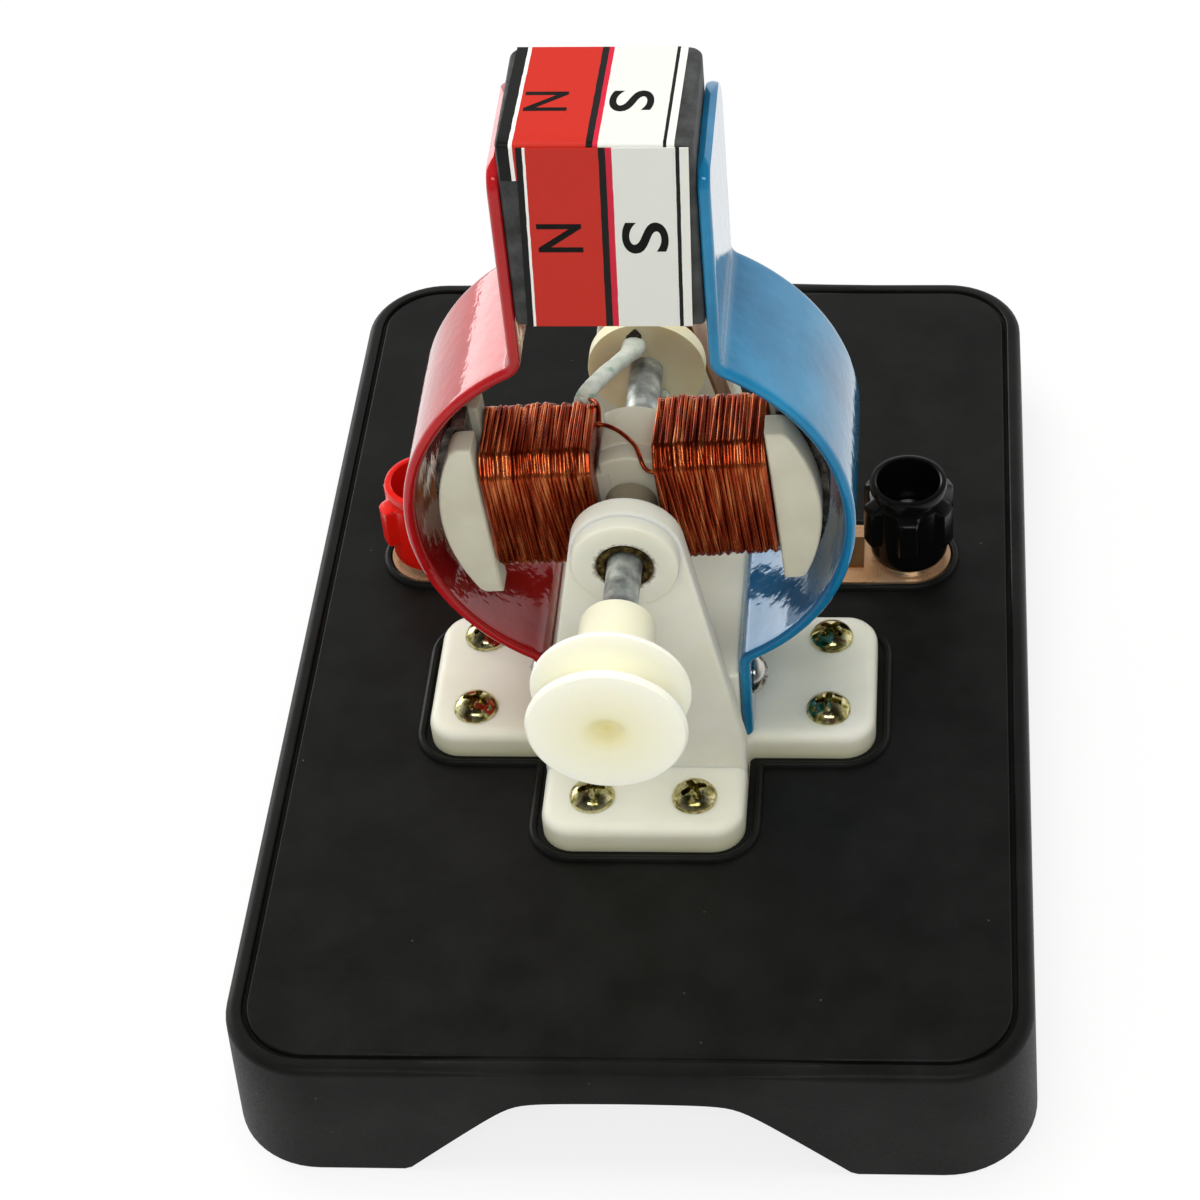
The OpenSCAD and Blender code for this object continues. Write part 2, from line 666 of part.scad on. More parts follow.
module pole_piece() difference() {
    intersection() {
        along_y(pole_front, pole_w) pole_outline();
        translate([0, pole_front, 0]) rotate([90, 0, 90]) linear_extrude(pole_r + pole_t + 5) pole_side();
    }
    for (sy = [-1, 1]) translate([block_w / 2 - 1, wing_y + sy * pole_screw_gap / 2, pole_screw_z])
        rotate([0, 90, 0]) cylinder(d = pole_shank_d + 2 * shank_clear, h = pole_t + 3);
}

module red_pole_piece() color(red_paint) mirror([1, 0, 0]) pole_piece();

module blue_pole_piece() color(blue_paint) pole_piece();

module pole_screws() color(nickel) for (sx = [-1, 1], sy = [-1, 1])
    translate([sx * (flange_x + pole_t / 2), wing_y + sy * pole_screw_gap / 2, pole_screw_z])
        rotate([0, sx * 90, 0]) rotate(sx * sy * 30) pan_screw(pole_head_d, 1.8, pole_shank_d, pole_screw_l);

module magnet() color(ferrite) translate([-magnet_w / 2, pole_front, magnet_z])
    cube([magnet_w, magnet_d, magnet_h]);

module magnet_top_label() color(label_white) {
    translate([-magnet_w / 2 + 0.3, pole_front - label_t, magnet_top])
        cube([magnet_w - 1.8, magnet_d + label_t - 0.3, label_t]);
    translate([-magnet_w / 2 + 0.3, pole_front - label_t, magnet_top - label_fold])
        cube([magnet_w - 1.8, label_t, label_fold + label_t]);
}

module magnet_front_label() color(label_white)
    translate([magnet_w / 2 - 1.6 - label_w, pole_front - 2 * label_t, magnet_z + 0.1])
        cube([label_w, label_t, magnet_h - 0.2]);

// ---------------------------------------------------------------- rotor

// Cheek or pole shoe: a flat inner face and a round outer one, its tips rounded
module shoe_outline(r, x, h, tip) {
    difference() {
        translate([x, -h]) square([r - x, 2 * h]);
        difference() {
            translate([x, -h - 1]) square([r - x + 1, 2 * h + 2]);
            circle(r, $fn = 128);
        }
        for (sz = [0, 1]) mirror([0, sz]) translate([tip_x(r, h, tip), h - tip]) difference() {
            square([tip + 2, tip + 1]);
            circle(tip, $fn = 32);
        }
    }
}

// Where a circle of the tip's radius touches both the shoe's end and its round face
function tip_x(r, h, tip) = sqrt(pow(r - tip, 2) - pow(h - tip, 2));

module core_outline() {
    core_hub(0);
    for (side = [0, 1]) mirror([side, 0]) {
        translate([0, -arm_h]) square([cheek_x + 2, 2 * arm_h]);
        shoe_outline(core_r, cheek_x + 1.2, cheek_h + 0.4, 0.8);
    }
}

module rotor_core() color(core_iron) parked() difference() {
    translate([0, 0, axis_h]) along_y(core_front, core_t) core_outline();
    on_axis(core_front - 1) cylinder(d = shaft_d + 2 * fix_gap, h = core_t + 2);
}

// Hub between the windings: flat sides and a round crown
module hub_outline() intersection() {
    circle(hub_h);
    square([2 * hub_x, 2 * hub_h + 1], center = true);
}

// One insulator from the core's face out: hub, arm troughs and cheeks, drawn with z = 0 at the core
module insulator(hub_l) difference() {
    union() {
        linear_extrude(hub_l) hub_outline();
        for (side = [0, 1]) mirror([side, 0, 0]) {
            translate([0, -arm_z, -core_t / 2 + 0.2]) cube([cheek_x + 1.2, 2 * arm_z, arm_skin + core_t / 2 - 0.2]);
            linear_extrude(cheek_l) shoe_outline(cheek_r, cheek_x, cheek_h, 1.4);
            translate([0, 0, -core_t / 2 + 0.2]) linear_extrude(core_t)
                shoe_outline(cheek_x + 1.2, cheek_x, arm_z + 1.5, 0.4);
        }
        translate([0, 0, -core_t / 2 + 0.2]) linear_extrude(core_t / 2) hub_outline();
    }
    // The core lies inside
    translate([0, 0, -core_t]) linear_extrude(core_t + arm_gap) core_room();
    translate([0, 0, -core_t]) cylinder(d = shaft_d + 2 * fix_gap, h = 2 * core_t + hub_l + cheek_l);
}

// Middle of the core, grown by g all round: it stays inside the insulators' hub
module core_hub(g) intersection() {
    circle(hub_h - 0.6 + g);
    square([2 * hub_x + 2 * g, 2 * hub_h + 1], center = true);
}

// The core's outline with a little room round its arms and hub
module core_room() {
    core_hub(arm_gap);
    for (side = [0, 1]) mirror([side, 0]) {
        translate([0, -arm_h - arm_gap]) square([cheek_x + 3, 2 * arm_h + 2 * arm_gap]);
        shoe_outline(core_r + 1, cheek_x + 1.2 - arm_gap, cheek_h + 1.4, 0.8);
    }
}

module front_insulator() color(white_nylon) parked()
    on_axis(core_front) mirror([0, 0, 1]) insulator(front_hub_l);

module rear_insulator() color(white_nylon) parked() on_axis(core_rear) insulator(rear_hub_l);

// Mid line of a turn: a rectangle with round corners, 24 points a turn
function turn_point(k) = let (q = floor((k % 24) / 6), j = k % 6 - 1, a = 90 * q + (j < 0 ? 0 : 22.5 * j),
        sy = [1, -1, -1, 1][q], sz = [1, 1, -1, -1][q])
    j < 0
    ? [turn_y * cos(a), turn_z * sin(a)]
    : [sy * (turn_y - turn_r) + turn_r * cos(a), sz * (turn_z - turn_r) + turn_r * sin(a)];
function turn_side(k) = let (q = floor((k % 24) / 6), j = k % 6 - 1) 90 * q + (j < 0 ? 0 : 22.5 * j);

// Rings of the outer layer, six points each, along the whole winding
function wire_ring(k) = let (c = turn_point(k), a = turn_side(k))
    [for (s = [0 : 5]) let (f = wire_d / 2 * cos(60 * s))
        [winding_x + turn_pitch * k / 24 + wire_d / 2 * sin(60 * s), rotor_y + c[0] + f * cos(a),
            axis_h + c[1] + f * sin(a)]];
wire_rings = [for (k = [0 : 24 * turns]) wire_ring(k)];
turn_gap = min([for (k = [0 : 24 * (turns - 1)], s = [0 : 5], m = [0 : 5])
    norm(wire_rings[k][s] - wire_rings[k + 24][m])]);
echo(least_gap_between_turns = turn_gap);

module outer_layer() {
    points = [for (ring = wire_rings) each ring];
    last = len(points) - 6;
    sides = [for (i = [0 : len(wire_rings) - 2], s = [0 : 5]) let (a = 6 * i, b = a + 6, m = (s + 1) % 6)
        each [[a + s, b + m, b + s], [a + s, a + m, b + m]]];
    ends = [for (s = [1 : 4]) each [[0, s + 1, s], [last, last + s, last + s + 1]]];
    polyhedron(points = points, faces = concat(sides, ends));
}

// Right winding: inner layers as one body round the arm, outer layer wound on it
module coil() {
    skin = wire_d / 2 + coil_skin_gap;
    difference() {
        translate([coil_in, rotor_y, axis_h]) rotate([90, 0, 90]) linear_extrude(coil_out - coil_in)
            round_rect(2 * (turn_y - skin), 2 * (turn_z - skin), turn_r - skin);
        translate([coil_in - 1, rotor_y - arm_y - arm_gap, axis_h - arm_z - arm_gap])
            cube([coil_out - coil_in + 2, 2 * (arm_y + arm_gap), 2 * (arm_z + arm_gap)]);
    }
    outer_layer();
}

module right_coil() color(enamel_copper) parked() coil();

module left_coil() color(enamel_copper) parked() half_turn() coil();

module coil_link_wire() color(enamel_copper) parked()
    translate([0, 0, axis_h]) tube(link_route, wire_d, 8);

// A lead and its twin, half a turn round the shaft
module twice() for (a = [0, 180]) translate([0, 0, axis_h]) rotate([0, a, 0]) children();

module lead_sleeves() color(sleeve_white) parked() twice() tube(sleeve_route, sleeve_d, 8);

module lead_wires() color(enamel_copper) parked() twice() tube(lead_route, wire_d, 8);

// ---------------------------------------------------------------- commutator and brushes

module commutator_hub() color(white_nylon) parked() difference() {
    union() {
        on_axis(disc_y) cylinder(d = disc_d, h = disc_t);
        on_axis(disc_y) cylinder(d = ring_d - 2 * ring_t, h = disc_t + ring_l);
    }
    on_axis(disc_y - 1) cylinder(d = shaft_d + 2 * fix_gap, h = disc_t + ring_l + 2);
    twice() translate([-lead_hole_x, disc_y - 1, lead_hole_z]) rotate([-90, 0, 0])
        cylinder(d = sleeve_d + hole_gap, h = disc_t + 1);
}

// Upper half of the split ring
module segment() difference() {
    on_axis(ring_y) difference() {
        cylinder(d = ring_d, h = ring_l);
        translate([0, 0, -1]) cylinder(d = ring_d - 2 * ring_t + 2 * fix_gap, h = ring_l + 2);
    }
    translate([-ring_d, ring_y - 1, axis_h - ring_d]) cube([2 * ring_d, ring_l + 2, ring_d + slot_w / 2]);
}

module upper_segment() color(bare_copper) parked() segment();

module lower_segment() color(bare_copper) parked() half_turn() segment();

// Front view of the right brush: a foot on the strip, a bend, and a leaf that leans on the ring.
// The leaf's mid line runs leaf_off from the axis.
module brush_outline() {
    leaf_off = ring_d / 2 + brush_gap + leaf_t / 2;
    bend = [(leaf_off + leaf_bend_r + (axis_h - leaf_bend_z) * sin(leaf_lean)) / cos(leaf_lean), leaf_bend_z];
    start = bend - leaf_bend_r * [cos(leaf_lean), sin(leaf_lean)];
    touch = leaf_off * [cos(leaf_lean), sin(leaf_lean)] + [0, axis_h];
    translate(start) rotate(leaf_lean) translate([-leaf_t / 2, -eps])
        square([leaf_t, norm(touch - start) + leaf_tip]);
    translate(bend) band(leaf_bend_r, leaf_t, 180 + leaf_lean - 0.5, 270.5);
    translate([bend[0] - eps, strip_top]) square([stake_x + leaf_heel - bend[0], leaf_t]);
}

module brush() difference() {
    along_y(post_y - leaf_w / 2, leaf_w) brush_outline();
    translate([stake_x, post_y, base_h]) cylinder(d = stake_d + 2 * stake_gap, h = 4);
}

module right_brush() color(brush_bronze) brush();

module left_brush() color(brush_bronze) mirror([1, 0, 0]) brush();

// ---------------------------------------------------------------- terminals

module terminal_strip() difference() {
    translate([0, 0, base_h]) linear_extrude(strip_t) strip_outline(0);
    translate([post_x, post_y, base_h - 1]) cylinder(d = stud_d + 2 * stud_gap, h = 4);
    translate([stake_x, post_y, base_h - 1]) cylinder(d = stake_d + 2 * stake_gap, h = 4);
}

module right_terminal_strip() color(bare_copper) terminal_strip();

module left_terminal_strip() color(bare_copper) mirror([1, 0, 0]) terminal_strip();

// Stud with a collar on the strip and a plug socket down its middle
module post_stud() translate([post_x, post_y, 0]) difference() {
    union() {
        translate([0, 0, stud_foot]) cylinder(d = stud_d, h = stud_top - stud_foot);
        translate([0, 0, strip_top]) cylinder(d = collar_d, h = collar_t);
    }
    translate([0, 0, stud_top - socket_l]) cylinder(d = socket_d, h = socket_l + 1);
}

module right_post_stud() color(nickel) post_stud();

module left_post_stud() color(nickel) mirror([1, 0, 0]) post_stud();

module post_nuts() color(nickel) for (sx = [-1, 1]) translate([sx * post_x, post_y, panel_z - nut_h])
    difference() {
        cylinder(d = nut_af / cos(30), h = nut_h, $fn = 6);
        translate([0, 0, -1]) cylinder(d = stud_d + 2 * fix_gap, h = nut_h + 2);
    }

module clamp_washer() translate([post_x, post_y, washer_z]) difference() {
    cylinder(d = collar_d + 0.6, h = washer_t);
    translate([0, 0, -1]) cylinder(d = stud_d + 2 * stud_gap, h = washer_t + 2);
}

module right_clamp_washer() color(nickel) clamp_washer();

module left_clamp_washer() color(nickel) mirror([1, 0, 0]) clamp_washer();

// Cap: a thread hole below, an open cup above, and grip lugs under the rim
module post_cap() translate([post_x, post_y, 0]) difference() {
    union() {
        translate([0, 0, cap_z]) cylinder(d1 = cap_d - 2 * cap_bevel, d2 = cap_d, h = cap_bevel);
        translate([0, 0, cap_z + cap_bevel]) cylinder(d = cap_d, h = cap_h - 2 * cap_bevel);
        translate([0, 0, cap_top - cap_bevel]) cylinder(d1 = cap_d, d2 = cap_d - cap_bevel, h = cap_bevel);
        for (i = [0 : lug_count - 1]) rotate(360 / lug_count * (i + 0.5))
            translate([cap_open_d / 2 + 0.3, -lug_w / 2, lug_top - lug_h])
                cube([cap_d / 2 - cap_open_d / 2 - 0.3 + lug_out, lug_w, lug_h]);
    }
    translate([0, 0, cap_z - 1]) cylinder(d = stud_d + 2 * stud_gap, h = cap_h);
    translate([0, 0, stud_top]) cylinder(d = cap_open_d, h = cap_open_l + 1);
}

module black_post_cap() color(black_plastic) post_cap();

module red_post_cap() color(red_cap_plastic) mirror([1, 0, 0]) post_cap();

base_tray();
bearing_bracket();
bracket_screws();
front_bearing_bush();
rear_bearing_bush();
red_pole_piece();
blue_pole_piece();
pole_screws();
magnet();
magnet_top_label();
magnet_front_label();
rotor_shaft();
belt_pulley();
rotor_core();
front_insulator();
rear_insulator();
left_coil();
right_coil();
coil_link_wire();
lead_sleeves();
lead_wires();
commutator_hub();
upper_segment();
lower_segment();
left_brush();
right_brush();
left_terminal_strip();
right_terminal_strip();
left_post_stud();
right_post_stud();
post_nuts();
left_clamp_washer();
right_clamp_washer();
red_post_cap();
black_post_cap();
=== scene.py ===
"""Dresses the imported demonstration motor: a wound rotor between painted pole pieces, on a black tray."""
import math

import bmesh
import bpy
import numpy as np
from mathutils import Matrix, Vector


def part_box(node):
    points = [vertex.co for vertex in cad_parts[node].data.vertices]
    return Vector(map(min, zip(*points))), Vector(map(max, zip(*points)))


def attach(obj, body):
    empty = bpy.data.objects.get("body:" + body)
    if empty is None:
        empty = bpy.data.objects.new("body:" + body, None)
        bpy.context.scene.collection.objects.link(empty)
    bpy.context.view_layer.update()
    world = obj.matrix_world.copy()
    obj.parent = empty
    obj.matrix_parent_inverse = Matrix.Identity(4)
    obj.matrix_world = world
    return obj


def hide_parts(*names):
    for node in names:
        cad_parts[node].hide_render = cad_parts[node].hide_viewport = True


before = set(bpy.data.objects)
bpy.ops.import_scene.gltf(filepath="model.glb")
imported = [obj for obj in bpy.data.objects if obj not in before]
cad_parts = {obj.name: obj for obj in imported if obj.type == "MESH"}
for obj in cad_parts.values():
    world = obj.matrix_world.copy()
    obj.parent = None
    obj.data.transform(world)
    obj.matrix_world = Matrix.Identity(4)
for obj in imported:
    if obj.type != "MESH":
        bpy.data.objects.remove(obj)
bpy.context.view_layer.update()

# ---------------------------------------------------------------- camera
# The photograph looks down at the motor from the pulley's end, with a long lens held close. In pixels of
# the frame: the column that the lens looks straight at, and the focal length. In degrees: pitch below the
# horizon, yaw to the left and roll of the frame.
mm = 0.001
frame_px = 1200
centre_px = 800
focal_px = 3081.5
pitch, yaw, roll = np.radians([44.379, -3.842, -2.477])
eye = np.array([37.2, -285.15, 302.95]) * mm

forward = np.array([math.sin(yaw) * math.cos(pitch), math.cos(yaw) * math.cos(pitch), -math.sin(pitch)])
level = np.array([math.cos(yaw), -math.sin(yaw), 0])
upward = np.cross(level, forward)
right = math.cos(roll) * level + math.sin(roll) * upward
above = -math.sin(roll) * level + math.cos(roll) * upward
lens = bpy.data.cameras.new("camera")
lens.lens = lens.sensor_width * focal_px / frame_px
lens.shift_x = (frame_px / 2 - centre_px) / frame_px
lens.clip_start, lens.clip_end = 10 * mm, 10.0
camera = bpy.data.objects.new("camera", lens)
turn = np.eye(4)
turn[:3, 0], turn[:3, 1], turn[:3, 2], turn[:3, 3] = right, above, -forward, eye
camera.matrix_world = Matrix(turn)
bpy.context.scene.collection.objects.link(camera)
bpy.context.scene.camera = camera
bpy.context.scene.view_settings.view_transform = "Standard"


# ---------------------------------------------------------------- floor, room and lamps
# A pale table in a white room. Soft lamps hang over the motor, behind it on the left and by the camera.
# Reflections see a white wall and table behind the motor, a greyer ceiling, and both dimmer in front.

def linear(code):
    """An sRGB hex value as linear red, green, blue and 1."""
    srgb = np.array([int(code[i : i + 2], 16) for i in (1, 3, 5)]) / 255
    bright = np.where(srgb <= 0.04045, srgb / 12.92, ((srgb + 0.055) / 1.055) ** 2.4)
    return (*bright.tolist(), 1.0)


def add(tree, kind, sockets=None, stops=None, **settings):
    """Adds a node. Settings go on it, sockets take values or other nodes' outputs, and stops fill a ramp."""
    node = tree.nodes.new(kind)
    for key, value in settings.items():
        setattr(node, key, value)
    for key, value in (sockets or {}).items():
        if isinstance(value, bpy.types.NodeSocket):
            tree.links.new(value, node.inputs[key])
        else:
            node.inputs[key].default_value = value
    if stops:
        elements = node.color_ramp.elements
        elements.remove(elements[-1])
        elements[0].position = stops[0][0]
        elements[0].color = linear(stops[0][1])
        for at, colour in stops[1:]:
            elements.new(at).color = linear(colour)
    return node


def new_tree(owner):
    """Empties the node tree of a new world or material. Returns it with the outputs that tell rays apart."""
    owner.use_nodes = True
    owner.node_tree.nodes.clear()
    return owner.node_tree, add(owner.node_tree, "ShaderNodeLightPath").outputs


def seen_directly(tree, ray):
    """1 where the ray comes from the camera, a mirror or a glass, and 0 where it carries light."""
    first = add(tree, "ShaderNodeMath", {0: ray["Is Camera Ray"], 1: ray["Is Glossy Ray"]},
                operation="MAXIMUM")
    return add(tree, "ShaderNodeMath", {0: first.outputs[0], 1: ray["Is Transmission Ray"]},
               operation="MAXIMUM").outputs[0]


# The room lights the motor evenly. To the camera it is plain white, and mirrors see its walls and ceiling.
ambient = 0.44
room = bpy.data.worlds.new("white room")
bpy.context.scene.world = room
tree, ray = new_tree(room)
glow = add(tree, "ShaderNodeBackground", {"Color": linear("#ffffff"), "Strength": ambient})
toward = add(tree, "ShaderNodeTexCoord").outputs["Generated"]
toward = add(tree, "ShaderNodeSeparateXYZ", {0: toward}).outputs
walls = add(tree, "ShaderNodeValToRGB", {"Fac": toward["Z"]},
            stops=[(0.0, "#ffffff"), (0.3, "#ffffff"), (0.62, "#9e9e9d"), (0.84, "#4a4a49"),
                   (1.0, "#2c2c2b")])
window = add(tree, "ShaderNodeMapRange", {"Value": toward["Y"], "From Min": -0.35, "From Max": 0.25,
                                          "To Min": 0.16, "To Max": 1.0})
shown = add(tree, "ShaderNodeMath", {0: window.outputs["Result"], 1: ray["Is Camera Ray"]},
            operation="MAXIMUM")
plain = add(tree, "ShaderNodeMix", {0: ray["Is Camera Ray"], 6: walls.outputs["Color"],
                                    7: linear("#ffffff")}, data_type="RGBA")
white = add(tree, "ShaderNodeBackground", {"Color": plain.outputs[2], "Strength": shown.outputs[0]})
mixed = add(tree, "ShaderNodeMixShader",
            {0: seen_directly(tree, ray), 1: glow.outputs[0], 2: white.outputs[0]})
add(tree, "ShaderNodeOutputWorld", {"Surface": mixed.outputs[0]})

# The table glows to the camera and in mirrors, to be as white as the room, and keeps a fifth of its shading
table_half = 3.0
table_glow = 0.8
table = bpy.data.meshes.new("table")
corners = [(sx * table_half, sy * table_half, 0) for sx, sy in ((-1, -1), (1, -1), (1, 1), (-1, 1))]
table.from_pydata(corners, [], [(0, 1, 2, 3)])
table_top = bpy.data.materials.new("white table")
tree, ray = new_tree(table_top)
matt = add(tree, "ShaderNodeBsdfDiffuse", {"Color": linear("#f4f4f2")})
spot = add(tree, "ShaderNodeTexCoord").outputs["Object"]
spot = add(tree, "ShaderNodeSeparateXYZ", {0: spot}).outputs
dim = add(tree, "ShaderNodeMapRange", {"Value": spot["Y"], "From Min": -0.1, "From Max": 0.0,
                                       "To Min": 0.55, "To Max": 1.0})
level = add(tree, "ShaderNodeMath", {0: dim.outputs["Result"], 1: ray["Is Camera Ray"]},
            operation="MAXIMUM")
bright = add(tree, "ShaderNodeEmission", {"Color": linear("#ffffff"), "Strength": level.outputs[0]})
share = add(tree, "ShaderNodeMath", {0: seen_directly(tree, ray), 1: table_glow}, operation="MULTIPLY")
mixed = add(tree, "ShaderNodeMixShader", {0: share.outputs[0], 1: matt.outputs[0], 2: bright.outputs[0]})
add(tree, "ShaderNodeOutputMaterial", {"Surface": mixed.outputs[0]})
table.materials.append(table_top)
floor = bpy.data.objects.new("floor", table)
bpy.context.scene.collection.objects.link(floor)

# Each lamp: watts, width and height, its place and what it faces in metres, and whether mirrors show it
for name, watts, width, height, place, aim, mirrored in (
    ("overhead lamp", 3.7, 0.5, 0.5, (-0.1, 0.06, 0.75), (0, 0, 0.05), False),
    ("back left lamp", 2.2, 0.5, 0.5, (-0.66, 0.6, 0.16), (0, 0, 0.06), True),
    ("lamp by the camera", 1.45, 0.6, 0.13, (0.05, -0.58, 0.72), (0, 0, 0.05), True),
    ("fill beside the camera", 0.72, 0.2, 0.2, (0.09, -0.62, 0.57), (0, 0, 0.06), False),
):
    lamp = bpy.data.lights.new(name, "AREA")
    lamp.shape, lamp.energy, lamp.size, lamp.size_y = "RECTANGLE", watts, width, height
    holder = bpy.data.objects.new(name, lamp)
    holder.visible_glossy = mirrored
    away = np.array(place) - np.array(aim)
    across = np.cross([0, 1, 0.01], away)
    turn = np.eye(4)
    turn[:3, 0] = across / np.linalg.norm(across)
    turn[:3, 2] = away / np.linalg.norm(away)
    turn[:3, 1] = np.cross(turn[:3, 2], turn[:3, 0])
    turn[:3, 3] = place
    holder.matrix_world = Matrix(turn)
    bpy.context.scene.collection.objects.link(holder)


# ---------------------------------------------------------------- base tray
# An open-bottomed tray of black ABS, injection moulded with a matt spark-eroded face.
# Its walls lean out a little towards the table, the rim is rounded, and a groove runs round the panel.

def bent(corners, radii, inset=0.0, steps=8, edge_steps=1):
    """Closed outline through corners, moved left of its way by inset, with an arc of its own radius at each
    corner. The inset comes off a left turn's radius and adds to a right turn's."""
    corners = np.array(corners, float)
    radii = np.broadcast_to(radii, len(corners))
    before = corners - np.roll(corners, 1, 0)
    before /= np.linalg.norm(before, axis=1, keepdims=True)
    after = np.roll(before, -1, 0)
    left, left_after = (np.stack([-d[:, 1], d[:, 0]], 1) for d in (before, after))
    cosine = (before * after).sum(1)
    moved = corners + inset * (left + left_after) / np.maximum(1 + cosine, 1e-6)[:, None]
    side = np.sign(before[:, 0] * after[:, 1] - before[:, 1] * after[:, 0])
    radius = np.maximum(radii - side * inset, 1e-6)
    angle = np.arccos(np.clip(cosine, -1, 1))
    middle = moved - before * (radius * np.tan(angle / 2))[:, None] + left * (side * radius)[:, None]
    start = np.arctan2(*(-left * side[:, None]).T[::-1])
    sweep = start[:, None] + (side * angle)[:, None] * np.linspace(0, 1, steps + 1)
    arcs = middle[:, None] + radius[:, None, None] * np.stack([np.cos(sweep), np.sin(sweep)], -1)
    share_on = np.linspace(0, 1, edge_steps + 1)[1:-1, None]
    straights = arcs[:, -1:] + (np.roll(arcs, -1, 0)[:, :1] - arcs[:, -1:]) * share_on
    return np.concatenate([arcs, straights], 1).reshape(-1, 2)


def flat_ring(outline, z):
    """An outline laid level at height z."""
    return np.column_stack([outline, np.broadcast_to(z, len(outline))])


def standing_ring(outline, y):
    """An outline of X and Z stood up across the shaft, at y."""
    return np.column_stack([outline[:, 0], np.broadcast_to(y, len(outline)), outline[:, 1]])


def loft(rings, caps=True):
    """Joins rings of as many points each into a skin of quads, and closes its two ends with a face each."""
    rings = np.asarray(rings, float)
    count, around = rings.shape[:2]
    row = np.arange(count - 1)[:, None] * around
    here = np.arange(around)[None, :]
    beside = (here + 1) % around
    faces = np.stack([row + here, row + beside, row + around + beside, row + around + here], -1)
    faces = faces.reshape(-1, 4).tolist()
    if caps:
        faces += [list(range(around))[::-1], list(range((count - 1) * around, count * around))]
    return rings.reshape(-1, 3), faces


def piece(name, shells, material, body, stands_for=(), sharp=32):
    """One object from shells of points and faces, with doubles merged and faces turned outward. Edges that
    bend by more than `sharp` degrees stay sharp. It rides on a body and stands for CAD nodes."""
    offset, points, faces = 0, [], []
    for shell_points, shell_faces in shells:
        points.append(shell_points)
        faces += [[offset + i for i in face] for face in shell_faces]
        offset += len(shell_points)
    mesh = bpy.data.meshes.new(name)
    mesh.from_pydata(np.concatenate(points), [], faces)
    work = bmesh.new()
    work.from_mesh(mesh)
    bmesh.ops.remove_doubles(work, verts=work.verts, dist=2e-7)
    bmesh.ops.dissolve_degenerate(work, edges=work.edges, dist=1e-7)
    bmesh.ops.recalc_face_normals(work, faces=work.faces)
    work.to_mesh(mesh)
    work.free()
    mesh.polygons.foreach_set("use_smooth", np.ones(len(mesh.polygons), bool))
    mesh.set_sharp_from_angle(angle=math.radians(sharp))
    mesh.materials.append(material)
    made = bpy.data.objects.new(name, mesh)
    bpy.context.scene.collection.objects.link(made)
    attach(made, body)
    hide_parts(*stands_for)
    return made


def surface(name, tones, mottle, grain, depth, rough, stretch=(1, 1, 1), **sockets):
    """A material: its colour wanders through tones over `mottle` metres, its roughness between two values,
    and grains of `grain` metres stand `depth` metres proud. A stretch below 1 draws the tones out along
    that axis. Returns it with its tree, place and shader."""
    material = bpy.data.materials.new(name)
    material.use_nodes = True
    tree = material.node_tree
    tree.nodes.clear()
    place = add(tree, "ShaderNodeTexCoord").outputs["Object"]
    drawn_out = add(tree, "ShaderNodeMapping", {"Vector": place, "Scale": stretch}).outputs[0]
    cloud = add(tree, "ShaderNodeTexNoise", {"Vector": drawn_out, "Scale": 1 / mottle, "Detail": 5.0})
    first, last = 0.32, 0.68
    spread = [first + (last - first) * i / (len(tones) - 1) for i in range(len(tones))]
    colour = add(tree, "ShaderNodeValToRGB", {"Fac": cloud.outputs["Fac"]}, stops=list(zip(spread, tones)))
    grit = add(tree, "ShaderNodeTexNoise", {"Vector": place, "Scale": 1 / grain, "Detail": 2.0})
    wear = add(tree, "ShaderNodeMapRange", {"Value": grit.outputs["Fac"], "From Min": first, "From Max": last,
                                            "To Min": rough[0], "To Max": rough[1]})
    bump = add(tree, "ShaderNodeBump", {"Height": grit.outputs["Fac"], "Distance": depth, "Strength": 1.0})
    shader = add(tree, "ShaderNodeBsdfPrincipled",
                 {"Base Color": colour.outputs["Color"], "Roughness": wear.outputs["Result"],
                  "Normal": bump.outputs["Normal"], **sockets})
    add(tree, "ShaderNodeOutputMaterial", {"Surface": shader.outputs["BSDF"]})
    return material, tree, place, shader


def overpaint(tree, shader, share, tone):
    """Mixes the shader's base colour towards a tone, by a share of 0 to 1."""
    base = shader.inputs["Base Color"]
    mixed = add(tree, "ShaderNodeMix", {0: share, 6: base.links[0].from_socket, 7: linear(tone)},
                data_type="RGBA")
    tree.links.new(mixed.outputs[2], base)


def flecks(tree, place, shader, apart, core, edge, most, tone):
    """Scatters flecks of a tone about `apart` metres from each other. Within `core` of its middle a fleck
    covers a share of `most`, and at `edge` it has faded out: both are shares of `apart`."""
    spot = add(tree, "ShaderNodeTexVoronoi", {"Vector": place, "Scale": 1 / apart})
    share = add(tree, "ShaderNodeMapRange", {"Value": spot.outputs["Distance"], "From Min": core,
                                             "From Max": edge, "To Min": most, "To Max": 0.0})
    overpaint(tree, shader, share.outputs["Result"], tone)


tray_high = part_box("base_tray")[1]
plate_low, plate_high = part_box("bearing_bracket")
tray_h = plate_low.z
draft = 0.7 * mm
half_w, half_l = tray_high.x - draft, tray_high.y - draft
tray_r = 10.5 * mm
tray_wall, panel_t = 2.4 * mm, 2.6 * mm
end_wall = 2 * mm
arch_w, arch_h, arch_soft = 53 * mm, 13.5 * mm, 2.2 * mm


